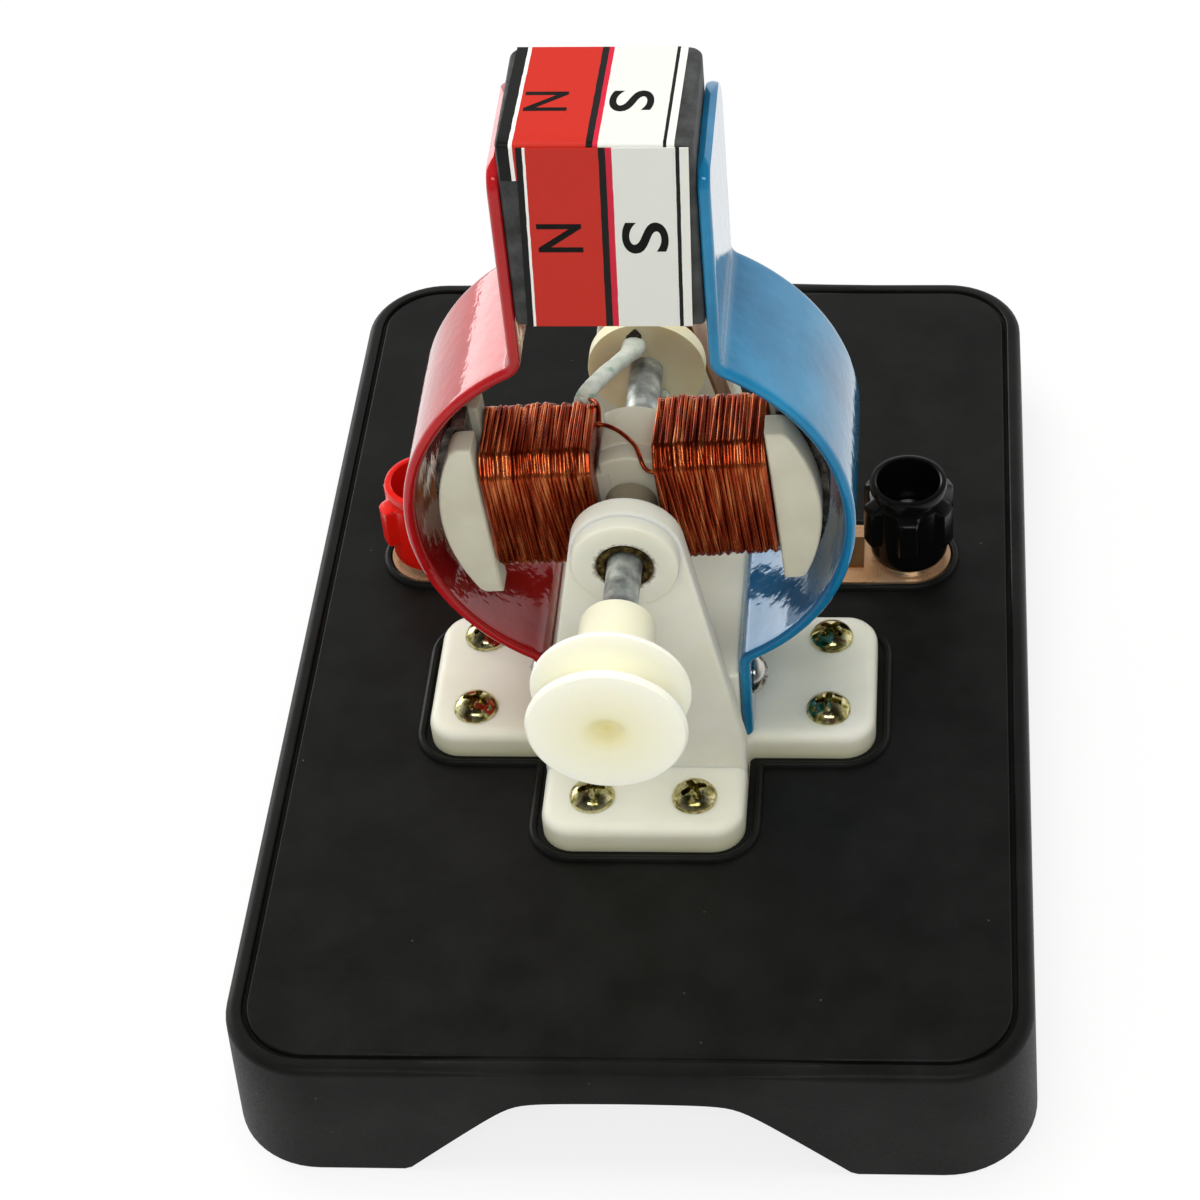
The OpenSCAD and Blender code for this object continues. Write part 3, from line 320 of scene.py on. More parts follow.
def tray_ring(inset, height):
    """The tray's outline at an inset, at a height that is squeezed to stay above an end wall's finger arch.
    The arch's own height is the softened lower one of a 45 degree slope and the arch's top. A point is on an
    end wall where it lies less than end_wall inside the outline's end."""
    corners = [(-half_w, -half_l), (half_w, -half_l), (half_w, half_l), (-half_w, half_l)]
    outline = bent(corners, tray_r, inset, steps=14, edge_steps=88)
    slope = arch_w / 2 - np.abs(outline[:, 0])
    arch = (slope + arch_h - np.sqrt((slope - arch_h) ** 2 + arch_soft**2)) / 2
    arch = np.where(np.abs(outline[:, 1]) > half_l - inset - end_wall, np.maximum(arch, 0), 0)
    share_up = height / tray_h
    return np.column_stack([outline, arch + share_up * (tray_h - arch)])


rim_r = 1.1 * mm
bends = np.radians(np.linspace(0, 90, 7))
groove = [(1.75, 0), (1.9, -0.12), (2.0, -0.7), (2.25, -0.85), (2.5, -0.7), (2.6, -0.12), (2.75, 0)]
outer = [(-draft + 0.25 * mm, 0), (-draft, 0.3 * mm), (-draft / 2, tray_h / 2)]
outer += [(rim_r * (1 - math.cos(a)), tray_h - rim_r * (1 - math.sin(a))) for a in bends]
outer += [(x * mm, tray_h + z * mm) for x, z in groove]
inner = [(tray_wall, tray_h - panel_t), (tray_wall, tray_h / 2), (tray_wall - draft, 0.2 * mm),
         (tray_wall - draft - 0.2 * mm, 0)]
tray_shells = [loft([tray_ring(*p) for p in inner + outer])]

# Spark erosion pits the mould evenly, which gives an even grey sheen with no sharp mirror image. The pits
# are drawn at 0.35 mm, coarser than the real 0.05 mm, so that they show. A little pale dust lies on it.
abs_black, tree, place, shader = surface(
    "matt black ABS, spark-eroded mould", ["#0e0f0d", "#171816"], mottle=7 * mm, grain=0.35 * mm,
    depth=0.015 * mm, rough=(0.4, 0.52), **{"Specular IOR Level": 0.2})
flecks(tree, place, shader, apart=4.5 * mm, core=0.015, edge=0.035, most=0.5, tone="#6b6b66")


def turned(profile, steps=48):
    """A profile of radius and height spun round the Z axis: x = r cos a, y = r sin a."""
    a = np.linspace(0, 2 * np.pi, steps, endpoint=False)
    radius, height = np.array(profile, float).T
    height = np.broadcast_to(height[:, None], (len(height), steps))
    return np.stack([radius[:, None] * np.cos(a), radius[:, None] * np.sin(a), height], -1)


def swept(path, section, up):
    """Carries a section along a path. Its first measure lies along `up` crossed with the way ahead, and its
    second along the way ahead crossed with that."""
    path = np.asarray(path, float)
    ahead = np.gradient(path, axis=0)
    ahead /= np.linalg.norm(ahead, axis=1, keepdims=True)
    side = np.cross(up, ahead)
    side /= np.linalg.norm(side, axis=1, keepdims=True)
    over = np.cross(ahead, side)
    section = np.asarray(section, float)
    return path[:, None] + side[:, None] * section[:, 0, None] + over[:, None] * section[:, 1, None]


# Locating beads: half-round ribs on the panel, round the bracket's foot and the strips' outer ends
wing_x, wing_y0, wing_y1 = plate_high.x, -23 * mm, -1 * mm
tongue_x, tongue_y0, tongue_y1 = 12.5 * mm, plate_low.y, plate_high.y
foot_right = [(tongue_x, tongue_y0), (tongue_x, wing_y0), (wing_x, wing_y0), (wing_x, wing_y1),
              (tongue_x, wing_y1), (tongue_x, tongue_y1)]
foot_corners = [(-tongue_x, tongue_y0)] + foot_right + [(-x, y) for x, y in foot_right[:0:-1]]
foot_radii = np.array([4, 4, 0.8] * 4) * mm
bead_gap, bead_w, bead_h = 0.8 * mm, 1.1 * mm, 0.9 * mm
bead_z = tray_h - 0.1 * mm
half_round = np.linspace(0, np.pi, 9)
bead_across = bead_w / 2 * (1 - np.cos(half_round))
bead_up = bead_h * np.sin(half_round)


def bead_ring(across, up):
    """The bead's line round the bracket's foot, `across` out from its inner edge."""
    outline = bent(foot_corners, np.maximum(foot_radii, 2 * mm), -bead_gap - across, steps=8)
    return flat_ring(outline, bead_z + up)


tray_shells.append(loft([bead_ring(a, u) for a, u in zip(bead_across, bead_up)], caps=False))
strip_low, strip_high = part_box("right_terminal_strip")
post_y = (strip_low.y + strip_high.y) / 2
strip_half = (strip_high.y - strip_low.y) / 2
post_x = strip_high.x - strip_half
strip_gap = 0.1 * mm
bead_r = strip_half + strip_gap + bead_w / 2
end_turn = np.radians(np.linspace(-90, 90, 25))
for side in (-1, 1):
    x = np.concatenate([[tongue_x + bead_gap], post_x + bead_r * np.cos(end_turn), [tongue_x + bead_gap]])
    y = np.concatenate([[post_y - bead_r], post_y + bead_r * np.sin(end_turn), [post_y + bead_r]])
    way = np.column_stack([side * x, y, np.full(len(x), bead_z)])
    section = np.column_stack([bead_across - bead_w / 2, bead_up])
    tray_shells.append(loft(swept(way, section, (0, 0, 1))))

# Staking pins, melted into low domes over the strips, and the screw bosses under the panel
stake_x = 23 * mm
wing_mid = -12
screw_places = [(sx * 22.3, wing_mid + sy * 6.4) for sx in (-1, 1) for sy in (-1, 1)]
screw_places += [(sx * 6.3, y) for sx in (-1, 1) for y in (-33.3, 27.6)]
screw_places = np.array(screw_places) * mm
pin = np.array([(1.5, -0.2), (1.5, 1.3), (1.35, 1.65), (0.9, 1.85), (0, 1.9)]) * mm
boss = np.array([(3.15, -2.7), (3.15, -12.8), (2.95, -13), (1.6, -13), (1.5, -12.8), (1.5, -4)]) * mm
for place in [(side * stake_x, post_y) for side in (-1, 1)]:
    tray_shells.append(loft(turned(pin) + [*place, tray_h], caps=False))
for place in screw_places:
    tray_shells.append(loft(turned(boss, 24) + [*place, tray_h], caps=False))
piece("tray_moulding", tray_shells, abs_black, "base", ["base_tray"])


# ---------------------------------------------------------------- terminal strips and brushes
# Two strips blanked from bare copper sheet carry the current in from the posts. A springy leaf of
# phosphor bronze stands on each strip's inner end and leans on the split ring. The posts' studs, nuts and
# washers are turned brass with a coat of nickel.

# Rolled and handled copper: a pale, soft mirror with cloudy patches, which tarnish keeps from full metal
bare_copper, *_ = surface("bare copper sheet", ["#dda674", "#efc197", "#f6d0a8"], mottle=6 * mm,
                          grain=1.2 * mm, depth=0.004 * mm, rough=(0.24, 0.36), Metallic=0.65)
# Rolled bronze is browner and duller than the copper
brush_bronze, *_ = surface("phosphor bronze leaf", ["#7a5431", "#9a7043"], mottle=4 * mm, grain=0.8 * mm,
                           depth=0.004 * mm, rough=(0.3, 0.42), Metallic=1.0)
# Nickel gives a bright and faintly warm mirror
nickel, *_ = surface("bright nickel plate", ["#b9b8b2", "#d2d1cb"], mottle=3 * mm, grain=0.3 * mm,
                     depth=0.003 * mm, rough=(0.16, 0.28), Metallic=1.0)


def dress(node, material):
    """Gives a CAD node its finish."""
    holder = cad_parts[node]
    holder.data.materials.clear()
    holder.data.materials.append(material)


for node in ("left_terminal_strip", "right_terminal_strip"):
    dress(node, bare_copper)
for node in ("left_brush", "right_brush"):
    dress(node, brush_bronze)
for node in ("left_post_stud", "right_post_stud", "post_nuts", "left_clamp_washer", "right_clamp_washer"):
    dress(node, nickel)


# ---------------------------------------------------------------- binding post caps
# Caps moulded in glossy ABS, which screw down on the posts: an open cup on top takes a plug, a waist runs
# under the lip, and six grip lugs stand round the body. One is red and one is black.
cap_low, cap_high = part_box("black_post_cap")
cap_h = cap_high.z - cap_low.z
cap_r, cap_bore, cap_lip = 5.1 * mm, 3.06 * mm, 4.15 * mm
lugs, lug_out = 6, 1.15 * mm
lug_half, lug_edge = 0.24, 0.04  # radians: half a lug's width, and half of its soft edge
lug_low, lug_high = 3.4 * mm, 9.9 * mm
cup_depth = 7.7 * mm
lip_r = 0.4 * mm
cap_side = [(cap_r - 0.5 * mm, 0), (cap_r - 0.15 * mm, 0.15 * mm), (cap_r, 0.5 * mm)]
cap_side += [(cap_r, z * mm) for z in (1.5, 2.5, 3.4, 3.6, 3.8, 4.2, 5, 6, 7, 8, 8.6, 9.2, 9.5, 9.8)]
cap_side += [(cap_r - 0.45 * mm, 10.2 * mm), (cap_r - 0.45 * mm, 10.7 * mm), (cap_r - 0.05 * mm, 11.0 * mm),
             (cap_r, cap_h - lip_r), (cap_r - 0.12 * mm, cap_h - 0.12 * mm), (cap_r - lip_r, cap_h)]
cap_hole = [(cap_lip + 0.25 * mm, cap_h), (cap_lip + 0.05 * mm, cap_h - 0.15 * mm),
            (cap_lip, cap_h - lip_r),
            (cap_lip, cap_h - cup_depth + 0.4 * mm), (cap_lip - 0.4 * mm, cap_h - cup_depth),
            (cap_bore, cap_h - cup_depth), (cap_bore, 0)]
cap_turns = 144


def cap_shell(x):
    """The cap's skin: a turned profile whose outer radius swells where a lug stands.
    Swell = lug height x soft window round the angle, in radians, x soft window up the side."""
    rings = turned(cap_side + cap_hole, cap_turns)
    a = np.linspace(0, 2 * np.pi, cap_turns, endpoint=False)
    from_lug = np.abs((a / (2 * np.pi) * lugs) % 1 - 0.5) / 0.5 * np.pi / lugs
    round_it = np.clip((lug_half + lug_edge - from_lug) / (2 * lug_edge), 0, 1)
    height = np.array([z for _, z in cap_side])
    up_it = np.clip((height - lug_low) / (0.4 * mm), 0, 1) * np.clip((lug_high - height) / (0.5 * mm), 0, 1)
    swell = lug_out * np.outer(up_it, round_it)
    rings[: len(cap_side), :, 0] += swell * np.cos(a)
    rings[: len(cap_side), :, 1] += swell * np.sin(a)
    return loft(np.concatenate([rings, rings[:1]]) + [x, post_y, cap_low.z], caps=False)


# A polished mould gives ABS small, clear highlights, softened by handling
for colour_name, tones, shine, x in (("red", ["#d2150b", "#e01a0e"], 0.35, -post_x),
                                     ("black", ["#070707", "#0d0d0d"], 0.2, post_x)):
    gloss_abs, *_ = surface(f"glossy {colour_name} ABS", tones, mottle=8 * mm, grain=0.7 * mm,
                            depth=0.006 * mm, rough=(0.16, 0.24), **{"Specular IOR Level": shine})
    piece(f"{colour_name}_cap_moulding", [cap_shell(x)], gloss_abs, f"{colour_name}_cap",
          [f"{colour_name}_post_cap"])


# ---------------------------------------------------------------- bearing bracket
# One moulding of white nylon: a foot plate shaped like a cross, a block that the pole pieces are screwed
# to, and two towers with bosses and noses for the bushes. Eight screws hold it to the tray.
axis_z = 58 * mm
plate_z = 22 * mm
block_x, block_z, block_over = 11.7 * mm, 33.3 * mm, 0.5 * mm
edge_r = 1.5 * mm


def from_axis(tree, place, unit=1.0):
    """The distance from the shaft's axis, in units of so many metres: the length of X and Z from the axis."""
    flat = add(tree, "ShaderNodeMapping", {"Vector": place, "Location": (0, 0, -axis_z / unit),
                                           "Scale": (1 / unit, 0, 1 / unit)})
    return add(tree, "ShaderNodeVectorMath", {0: flat.outputs[0]}, operation="LENGTH").outputs["Value"]


# Light goes a millimetre into nylon and comes out warmer, which makes shade and edges look soft and milky.
# The plate's edge is painted yellower and darker towards the tray, as warm painted shade. Oil has crept out
# round the bushes in a ragged ring.
nylon_glow = {"Subsurface Weight": 0.35, "Subsurface Scale": 1.2 * mm,
              "Subsurface Radius": (1.0, 0.82, 0.42)}
nylon, tree, place, shader = surface("white nylon, moulded", ["#e5e4d1", "#eeedde"], mottle=9 * mm,
                                     grain=0.8 * mm, depth=0.012 * mm, rough=(0.36, 0.5), **nylon_glow)
height = add(tree, "ShaderNodeSeparateXYZ", {0: place}).outputs["Z"]
# Painted shade: warmer and darker below the plate's top, towards the tray
painted_warm_shade = add(tree, "ShaderNodeMapRange", {"Value": height, "From Min": plate_z - 0.6 * mm,
                                             "From Max": plate_z - 3.4 * mm, "To Min": 0.0, "To Max": 0.55})
overpaint(tree, shader, painted_warm_shade.outputs["Result"], "#c9c38a")
ragged = add(tree, "ShaderNodeTexNoise", {"Vector": place, "Scale": 1 / (0.5 * mm), "Detail": 3.0})
reach = add(tree, "ShaderNodeMath", {0: ragged.outputs["Fac"], 1: 1.3 * mm, 2: from_axis(tree, place)},
            operation="MULTIPLY_ADD")
oily = add(tree, "ShaderNodeMapRange", {"Value": reach.outputs[0], "From Min": 3.9 * mm,
                                        "From Max": 4.5 * mm, "To Min": 0.8, "To Max": 0.0})
overpaint(tree, shader, oily.outputs["Result"], "#5d4a20")


quarter = np.radians(np.linspace(0, 90, 5))


def soft_block(outline_at, ring_at, start, end, soft):
    """A solid from an outline lofted from start to end. Both rims are quarter circles of radius `soft`:
    the inset is soft x (1 - sin a) where the way in is soft x (1 - cos a), and at the end they swap."""
    way = soft if end > start else -soft
    steps = list(zip(1 - np.sin(quarter), 1 - np.cos(quarter)))
    rings = [ring_at(outline_at(soft * a), start + way * b) for a, b in steps]
    rings += [ring_at(outline_at(soft * b), end - way * a) for a, b in steps]
    return loft(rings)


def foot(inset):
    """The cross-shaped foot plate's outline."""
    return bent(foot_corners, foot_radii, inset)


def block(inset):
    """The block's outline in plan."""
    y0, y1 = wing_y0 - block_over, wing_y1 + block_over
    return bent([(-block_x, y0), (block_x, y0), (block_x, y1), (-block_x, y1)], 0.8 * mm, inset)


head_r, foot_top = 6.7 * mm, plate_z + 3.4 * mm
drop = axis_z - foot_top
flank = math.atan2(tongue_x, drop) - math.asin(head_r / math.hypot(tongue_x, drop))
tower_corners = [(-tongue_x, tray_h + mm), (tongue_x, tray_h + mm), (tongue_x, foot_top),
                 (0, axis_z + head_r / math.sin(flank)), (-tongue_x, foot_top)]


def tower(inset):
    """A tower seen from the front: flanks that run together into a round head."""
    return bent(tower_corners, np.array([0.01, 0.01, 3, 6.7, 3]) * mm, inset, steps=24)


def on_shaft(profile, y, way=1, steps=72):
    """A turned profile of radius and distance laid along the shaft: from y on, and backwards where way
    is -1."""
    spun = turned(profile, steps)
    return np.stack([spun[..., 0], y + way * spun[..., 2], axis_z + spun[..., 1]], -1)


def nose(length):
    """A nose on a tower's inner face, in millimetres: a straight tube of that length, then a flare."""
    flare = [(3.05, 0), (3.3, 0.9), (3.9, 1.8), (4.8, 2.5), (6.1, 2.9)]
    return np.array([(2.45, 0), (2.9, 0), (3.05, 0.15)] + [(r, length + y) for r, y in flare]) * mm


foot_rings = [flat_ring(foot(0), tray_h)]
foot_rings += [flat_ring(foot(edge_r * (1 - math.cos(a))), plate_z - edge_r * (1 - math.sin(a)))
               for a in quarter]
front_web, web_t, rear_web = -28.3 * mm, 3 * mm, 23.2 * mm
front_nose, rear_nose = -18.9 * mm, 15.4 * mm
boss_profile = np.array([(6.5, -0.3), (6.3, 0), (6.3, 1.4), (6.15, 1.75), (5.8, 1.9), (3.5, 1.9), (3.27, 1.7),
                         (3.27, -1.5)]) * mm
bracket_shells = [
    loft(foot_rings),
    soft_block(block, flat_ring, tray_h + mm, block_z, soft=0.5 * mm),
    soft_block(tower, standing_ring, front_web, front_web + web_t, soft=0.5 * mm),
    soft_block(tower, standing_ring, rear_web, rear_web - web_t, soft=0.5 * mm),
    loft(on_shaft(boss_profile, front_web, -1), caps=False),
    loft(on_shaft(boss_profile, rear_web, 1), caps=False),
    loft(on_shaft(nose(3.6), front_nose, -1), caps=False),
    loft(on_shaft(nose(1.9), rear_nose, 1), caps=False),
]
piece("bracket_moulding", bracket_shells, nylon, "base", ["bearing_bracket"])


# ---------------------------------------------------------------- bearing bushes
# Plain bushes of sintered bronze, soaked in oil and pressed into the towers. The oil in their pores makes
# their faces dark and blotched, with dull gold where they are dry.
bush_bronze, *_ = surface("oily sintered bronze", ["#1d170c", "#4c3d1c", "#8a7440"], mottle=0.7 * mm,
                          grain=0.15 * mm, depth=0.02 * mm, rough=(0.35, 0.55), Metallic=0.8)
for node in ("front_bearing_bush", "rear_bearing_bush"):
    dress(node, bush_bronze)


# ---------------------------------------------------------------- screws
# Pan head screws of steel with a cross recess: eight with yellow passivated zinc hold the bracket, and
# four with nickel hold the pole pieces.

# The passivation is a film as thin as oil on water, so that it shifts between gold, olive and brown
zinc_yellow, *_ = surface("yellow passivated zinc", ["#4a4522", "#a69d5e", "#e0d9aa", "#94703f"],
                          mottle=1.3 * mm, grain=0.3 * mm, depth=0.004 * mm, rough=(0.1, 0.2), Metallic=1.0)
recess_w, recess_edge, recess_depth = 0.4 * mm, 0.12 * mm, 1.5 * mm
recess_reach = 0.6


def screw_shell(diameter, height, shank_d, length, spin):
    """A screw pointing down: the head is a dome, sunk where it lies within a soft-edged cross. The arms
    narrow and rise outward, and end at a share of the head's radius, recess_reach."""
    radius = diameter / 2
    share_r = np.linspace(0, 1, 26)[:, None]
    a = np.linspace(0, 2 * np.pi, 72, endpoint=False)[None, :]
    x, y = share_r * np.cos(a + spin), share_r * np.sin(a + spin)
    rim_h = 0.15 * height
    dome = rim_h + (height - rim_h) * (1 - share_r**2) ** 0.7
    off_line = np.minimum(np.abs(x), np.abs(y)) * radius
    in_slot = np.clip((recess_w * (1.15 - 0.5 * share_r) - off_line) / recess_edge, 0, 1)
    in_reach = np.clip((recess_reach - share_r) / 0.1, 0, 1)
    z = dome - recess_depth * in_slot * in_reach * (1 - 0.5 * share_r)
    rings = np.stack([share_r * radius * np.cos(a), share_r * radius * np.sin(a), z], -1)
    under = np.array([(radius, 0.1 * mm), (radius - 0.15 * mm, 0), (shank_d / 2, 0), (shank_d / 2, -length),
                      (0.3 * mm, -length - mm), (0, -length - mm)])
    return np.concatenate([rings, turned(under, 72)])


bracket_screws = []
for i, spot in enumerate(screw_places):
    rings = screw_shell(5.6 * mm, 1.9 * mm, 2.9 * mm, 11 * mm, math.radians(37 * i + 20))
    bracket_screws.append(loft(rings + [*spot, plate_z], caps=False))
piece("bracket_screw_set", bracket_screws, zinc_yellow, "base", ["bracket_screws"], sharp=40)

flange_out, flange_screw_z = 13.12 * mm, 28.13 * mm
pole_screws = []
for side in (-1, 1):
    for along in (-6, 6):
        rings = screw_shell(5 * mm, 1.8 * mm, 2.8 * mm, 5 * mm, math.radians(30 * side * along / 6))
        turned_out = np.stack([side * (flange_out + rings[..., 2]), rings[..., 1] + (wing_mid + along) * mm,
                               rings[..., 0] + flange_screw_z], -1)
        pole_screws.append(loft(turned_out, caps=False))
piece("pole_screw_set", pole_screws, nickel, "base", ["pole_screws"], sharp=40)


# ---------------------------------------------------------------- pole pieces
# Each is one strip of mild steel, 22 by 1.4 mm, bent to a foot, an arc round the rotor and a leg beside
# the magnet, then dipped in gloss enamel that rounds its edges and pools a little.
pole_low, pole_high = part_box("blue_pole_piece")
strip_t = 1.4 * mm
mid_r = pole_high.x - strip_t / 2
bend_r = 2.3 * mm
leg_x, flange_x = 11.25 * mm, 12.42 * mm
leg_front_r, leg_back_r = 3 * mm, 7 * mm
edge_round, end_round = 0.6 * mm, 0.5 * mm
leg_bend_z = axis_z + math.sqrt((mid_r + bend_r) ** 2 - (leg_x + bend_r) ** 2)
flange_bend_z = axis_z - math.sqrt((mid_r + bend_r) ** 2 - (flange_x + bend_r) ** 2)
leg_angle = math.atan2(leg_bend_z - axis_z, leg_x + bend_r)
flange_angle = math.atan2(axis_z - flange_bend_z, flange_x + bend_r)


def arc_points(x, z, radius, start, end, count):
    """Points on an arc about x and z, between two angles in radians."""
    a = np.linspace(start, end, count)
    return np.column_stack([x + radius * np.cos(a), z + radius * np.sin(a)])


def pole_shell(side):
    """The strip's mid line, with a section carried along it: a rectangle with rounded edges whose front and
    back follow the leg's rounded end, and whose thickness closes at both ends. Points crowd at the ends."""
    crowd = 8 * mm
    up_leg = np.concatenate([np.linspace(leg_bend_z + mm, pole_high.z - crowd, 12),
                             pole_high.z - crowd * np.cos(np.linspace(0, np.pi / 2, 28))[1:]])
    up_flange = pole_low.z + np.concatenate([[0, 0.05, 0.15, 0.3, 0.5], np.linspace(1, 11, 9)]) * mm
    line = np.concatenate([
        np.column_stack([np.full(len(up_flange), flange_x), up_flange]),
        arc_points(flange_x + bend_r, flange_bend_z, bend_r, np.pi, np.pi - flange_angle, 12),
        arc_points(0, axis_z, mid_r, -flange_angle, leg_angle, 90)[1:-1],
        arc_points(leg_x + bend_r, leg_bend_z, bend_r, np.pi + leg_angle, np.pi, 12),
        np.column_stack([np.full(len(up_leg), leg_x), up_leg]),
    ])
    ahead = np.gradient(line, axis=0)
    ahead /= np.linalg.norm(ahead, axis=1, keepdims=True)
    out = np.column_stack([ahead[:, 1], -ahead[:, 0]])
    y0 = np.full(len(line), pole_low.y)
    y1 = np.full(len(line), pole_high.y)
    for edge, radius, sign in ((y0, leg_front_r, 1), (y1, leg_back_r, -1)):
        over = np.clip(line[:, 1] - (pole_high.z - radius), 0, radius)
        edge += sign * (radius - np.sqrt(radius**2 - over**2))
    from_end = np.minimum(line[:, 1] - pole_low.z, pole_high.z - line[:, 1])
    thick = strip_t / 2 * np.sqrt(1 - np.clip(1 - from_end / end_round, 0, 1) ** 2)
    a = np.radians(np.linspace(-90, 90, 9))
    edge_y, edge_t = edge_round * (np.cos(a) - 1), np.sin(a)
    flat = np.linspace(0.05, 0.95, 12)
    y0, y1, thick = y0[:, None], y1[:, None], thick[:, None]
    rows = [(y1 + edge_y, thick * edge_t), (y1 + (y0 - y1) * flat, thick * np.ones(len(flat))),
            (y0 - edge_y[::-1], thick * edge_t[::-1]), (y0 + (y1 - y0) * flat, -thick * np.ones(len(flat)))]
    y, offset = (np.concatenate([row[i] for row in rows], 1) for i in (0, 1))
    x = line[:, :1] + out[:, :1] * offset
    z = line[:, 1:] + out[:, 1:] * offset
    return loft(np.stack([side * x, y, z], -1))


# Gloss enamel mirrors the room in its own colour. It ran a little before it dried, so that mirrored edges
# waver. The arc's inner side is painted darker, as painted shade.
for side, colour_name, tones, inner_shade_tone, sheen in (
    (-1, "red", ["#9c1116", "#ab171c", "#b61f24"], "#8c0e10", "#ff9a94"),
    (1, "blue", ["#17668f", "#1d78a3", "#2889b5"], "#125a86", "#8fd0ff"),
):
    enamel, tree, place, shader = surface(
        f"{colour_name} gloss enamel on steel", tones, mottle=12 * mm, grain=1.7 * mm, depth=0.05 * mm,
        rough=(0.06, 0.12), **{"Specular IOR Level": 0.6, "Specular Tint": linear(sheen),
                               "Coat Weight": 0.45, "Coat Roughness": 0.05})
    tree.links.new(shader.inputs["Normal"].links[0].from_socket, shader.inputs["Coat Normal"])
    # Painted shade: the enamel darkens inside the strip's mid radius, on the arc's inner side
    painted_shade_inside = add(tree, "ShaderNodeMapRange", {"Value": from_axis(tree, place), "From Min": mid_r - 0.5 * mm,
                                              "From Max": mid_r, "To Min": 1.0, "To Max": 0.0})
    overpaint(tree, shader, painted_shade_inside.outputs["Result"], inner_shade_tone)
    piece(f"{colour_name}_pole_strip", [pole_shell(side)], enamel, "base",
          [f"{colour_name}_pole_piece"])


# ---------------------------------------------------------------- magnet
# A pressed and sintered block of ferrite with ground faces and soft edges. Its own pull holds it between
# the pole pieces' legs, and it slides up out of them.
magnet_low, magnet_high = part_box("magnet")
# A ceramic like dark slate: dull and dry, with a grain that catches the light in places
ferrite, *_ = surface("sintered ferrite", ["#2c2d2c", "#3c3e3d", "#4a4c4b"], mottle=2.5 * mm,
                      grain=0.25 * mm, depth=0.03 * mm, rough=(0.5, 0.7), **{"Specular IOR Level": 0.4})


def magnet_plan(inset):
    """The magnet seen from above: its back corners are rounder than its front ones."""
    corners = [(magnet_low.x, magnet_low.y), (magnet_high.x, magnet_low.y),
               (magnet_high.x, magnet_high.y), (magnet_low.x, magnet_high.y)]
    return bent(corners, np.array([0.7, 0.7, 1.7, 1.7]) * mm, inset, steps=6, edge_steps=20)


block_shell = soft_block(magnet_plan, flat_ring, magnet_low.z, magnet_high.z, soft=0.4 * mm)
piece("magnet_block", [block_shell], ferrite, "magnet_block", ["magnet"])


# ---------------------------------------------------------------- magnet labels
# Printed vinyl cut from a roll: a black margin, the north half red, the south half white, with black
# rules between. One piece lies on top and folds over the front edge, one is stuck askew on the front.

# Where each stripe of the print starts, as a share of its width, and where it starts on each label
print_stops = [(0.0, "#141413"), (0.045, "#efeee8"), (0.062, "#c2281a"), (0.477, "#141413"),
               (0.52, "#cc1d38"), (0.556, "#dfe0d8"), (0.92, "#141413"), (0.945, "#e4e4dc")]
marks = [at for at, _ in print_stops] + [1.0]
top_marks = [0, 0.068, 0.093, 0.502, 0.5415, 0.57, 0.938, 0.9585, 1]
front_marks = [0, 0.038, 0.0565, 0.478, 0.5186, 0.556, 0.9245, 0.9495, 1]
# Flat colours under a low sheen, in stripes whose edges the cheap print leaves a little ragged. The stripes
# take the place of the surface's own tones.
vinyl, tree, place, shader = surface("printed vinyl", ["#000000", "#ffffff"], mottle=4 * mm, grain=0.5 * mm,
                                     depth=0.004 * mm, rough=(0.38, 0.48), **{"Specular IOR Level": 0.25})
across = add(tree, "ShaderNodeAttribute", attribute_name="across").outputs["Fac"]
ragged = add(tree, "ShaderNodeTexNoise", {"Vector": place, "Scale": 1 / (1.5 * mm), "Detail": 2.0})
shaken = add(tree, "ShaderNodeMath", {0: ragged.outputs["Fac"], 1: 0.006, 2: across},
             operation="MULTIPLY_ADD")
stripes = add(tree, "ShaderNodeValToRGB", {"Fac": shaken.outputs[0]}, stops=print_stops)
stripes.color_ramp.interpolation = "CONSTANT"
tree.links.new(stripes.outputs["Color"], shader.inputs["Base Color"])
label_t, glue_t = 0.12 * mm, 0.14 * mm


def label(name, centre_line, across_x, outward, own_marks, stands_for):
    """A label: a thin sheet over points of y and z, as wide as across_x, thick along `outward`.
    Every point keeps its share of the width, moved so that its own stripes fall on the print's."""
    wide = np.ones(61)
    x = across_x[:, :1] + (across_x[:, 1:] - across_x[:, :1]) * np.linspace(0, 1, len(wide))
    face = np.stack([x, centre_line[:, :1] * wide, centre_line[:, 1:] * wide], -1)
    thick = np.stack([np.zeros_like(x), outward[:, :1] * wide, outward[:, 1:] * wide], -1) * label_t
    rings = np.concatenate([face + thick, face[:, ::-1]], 1)
    made = piece(name, [loft(rings)], vinyl, "magnet_block", stands_for, sharp=60)
    co = np.empty(len(made.data.vertices) * 3)
    made.data.vertices.foreach_get("co", co)
    co = co.reshape(-1, 3)
    gone = np.concatenate([[0], np.cumsum(np.hypot(*np.diff(centre_line, axis=0).T))])
    near = np.argmin(np.hypot(*(co[:, None, 1:] - centre_line[None]).transpose(2, 0, 1)), axis=1)
    left, right_edge = (np.interp(gone[near], gone, across_x[:, i]) for i in (0, 1))
    across_it = np.interp((co[:, 0] - left) / (right_edge - left), own_marks, marks)
    made.data.attributes.new("across", "FLOAT", "POINT").data.foreach_set("value", across_it)


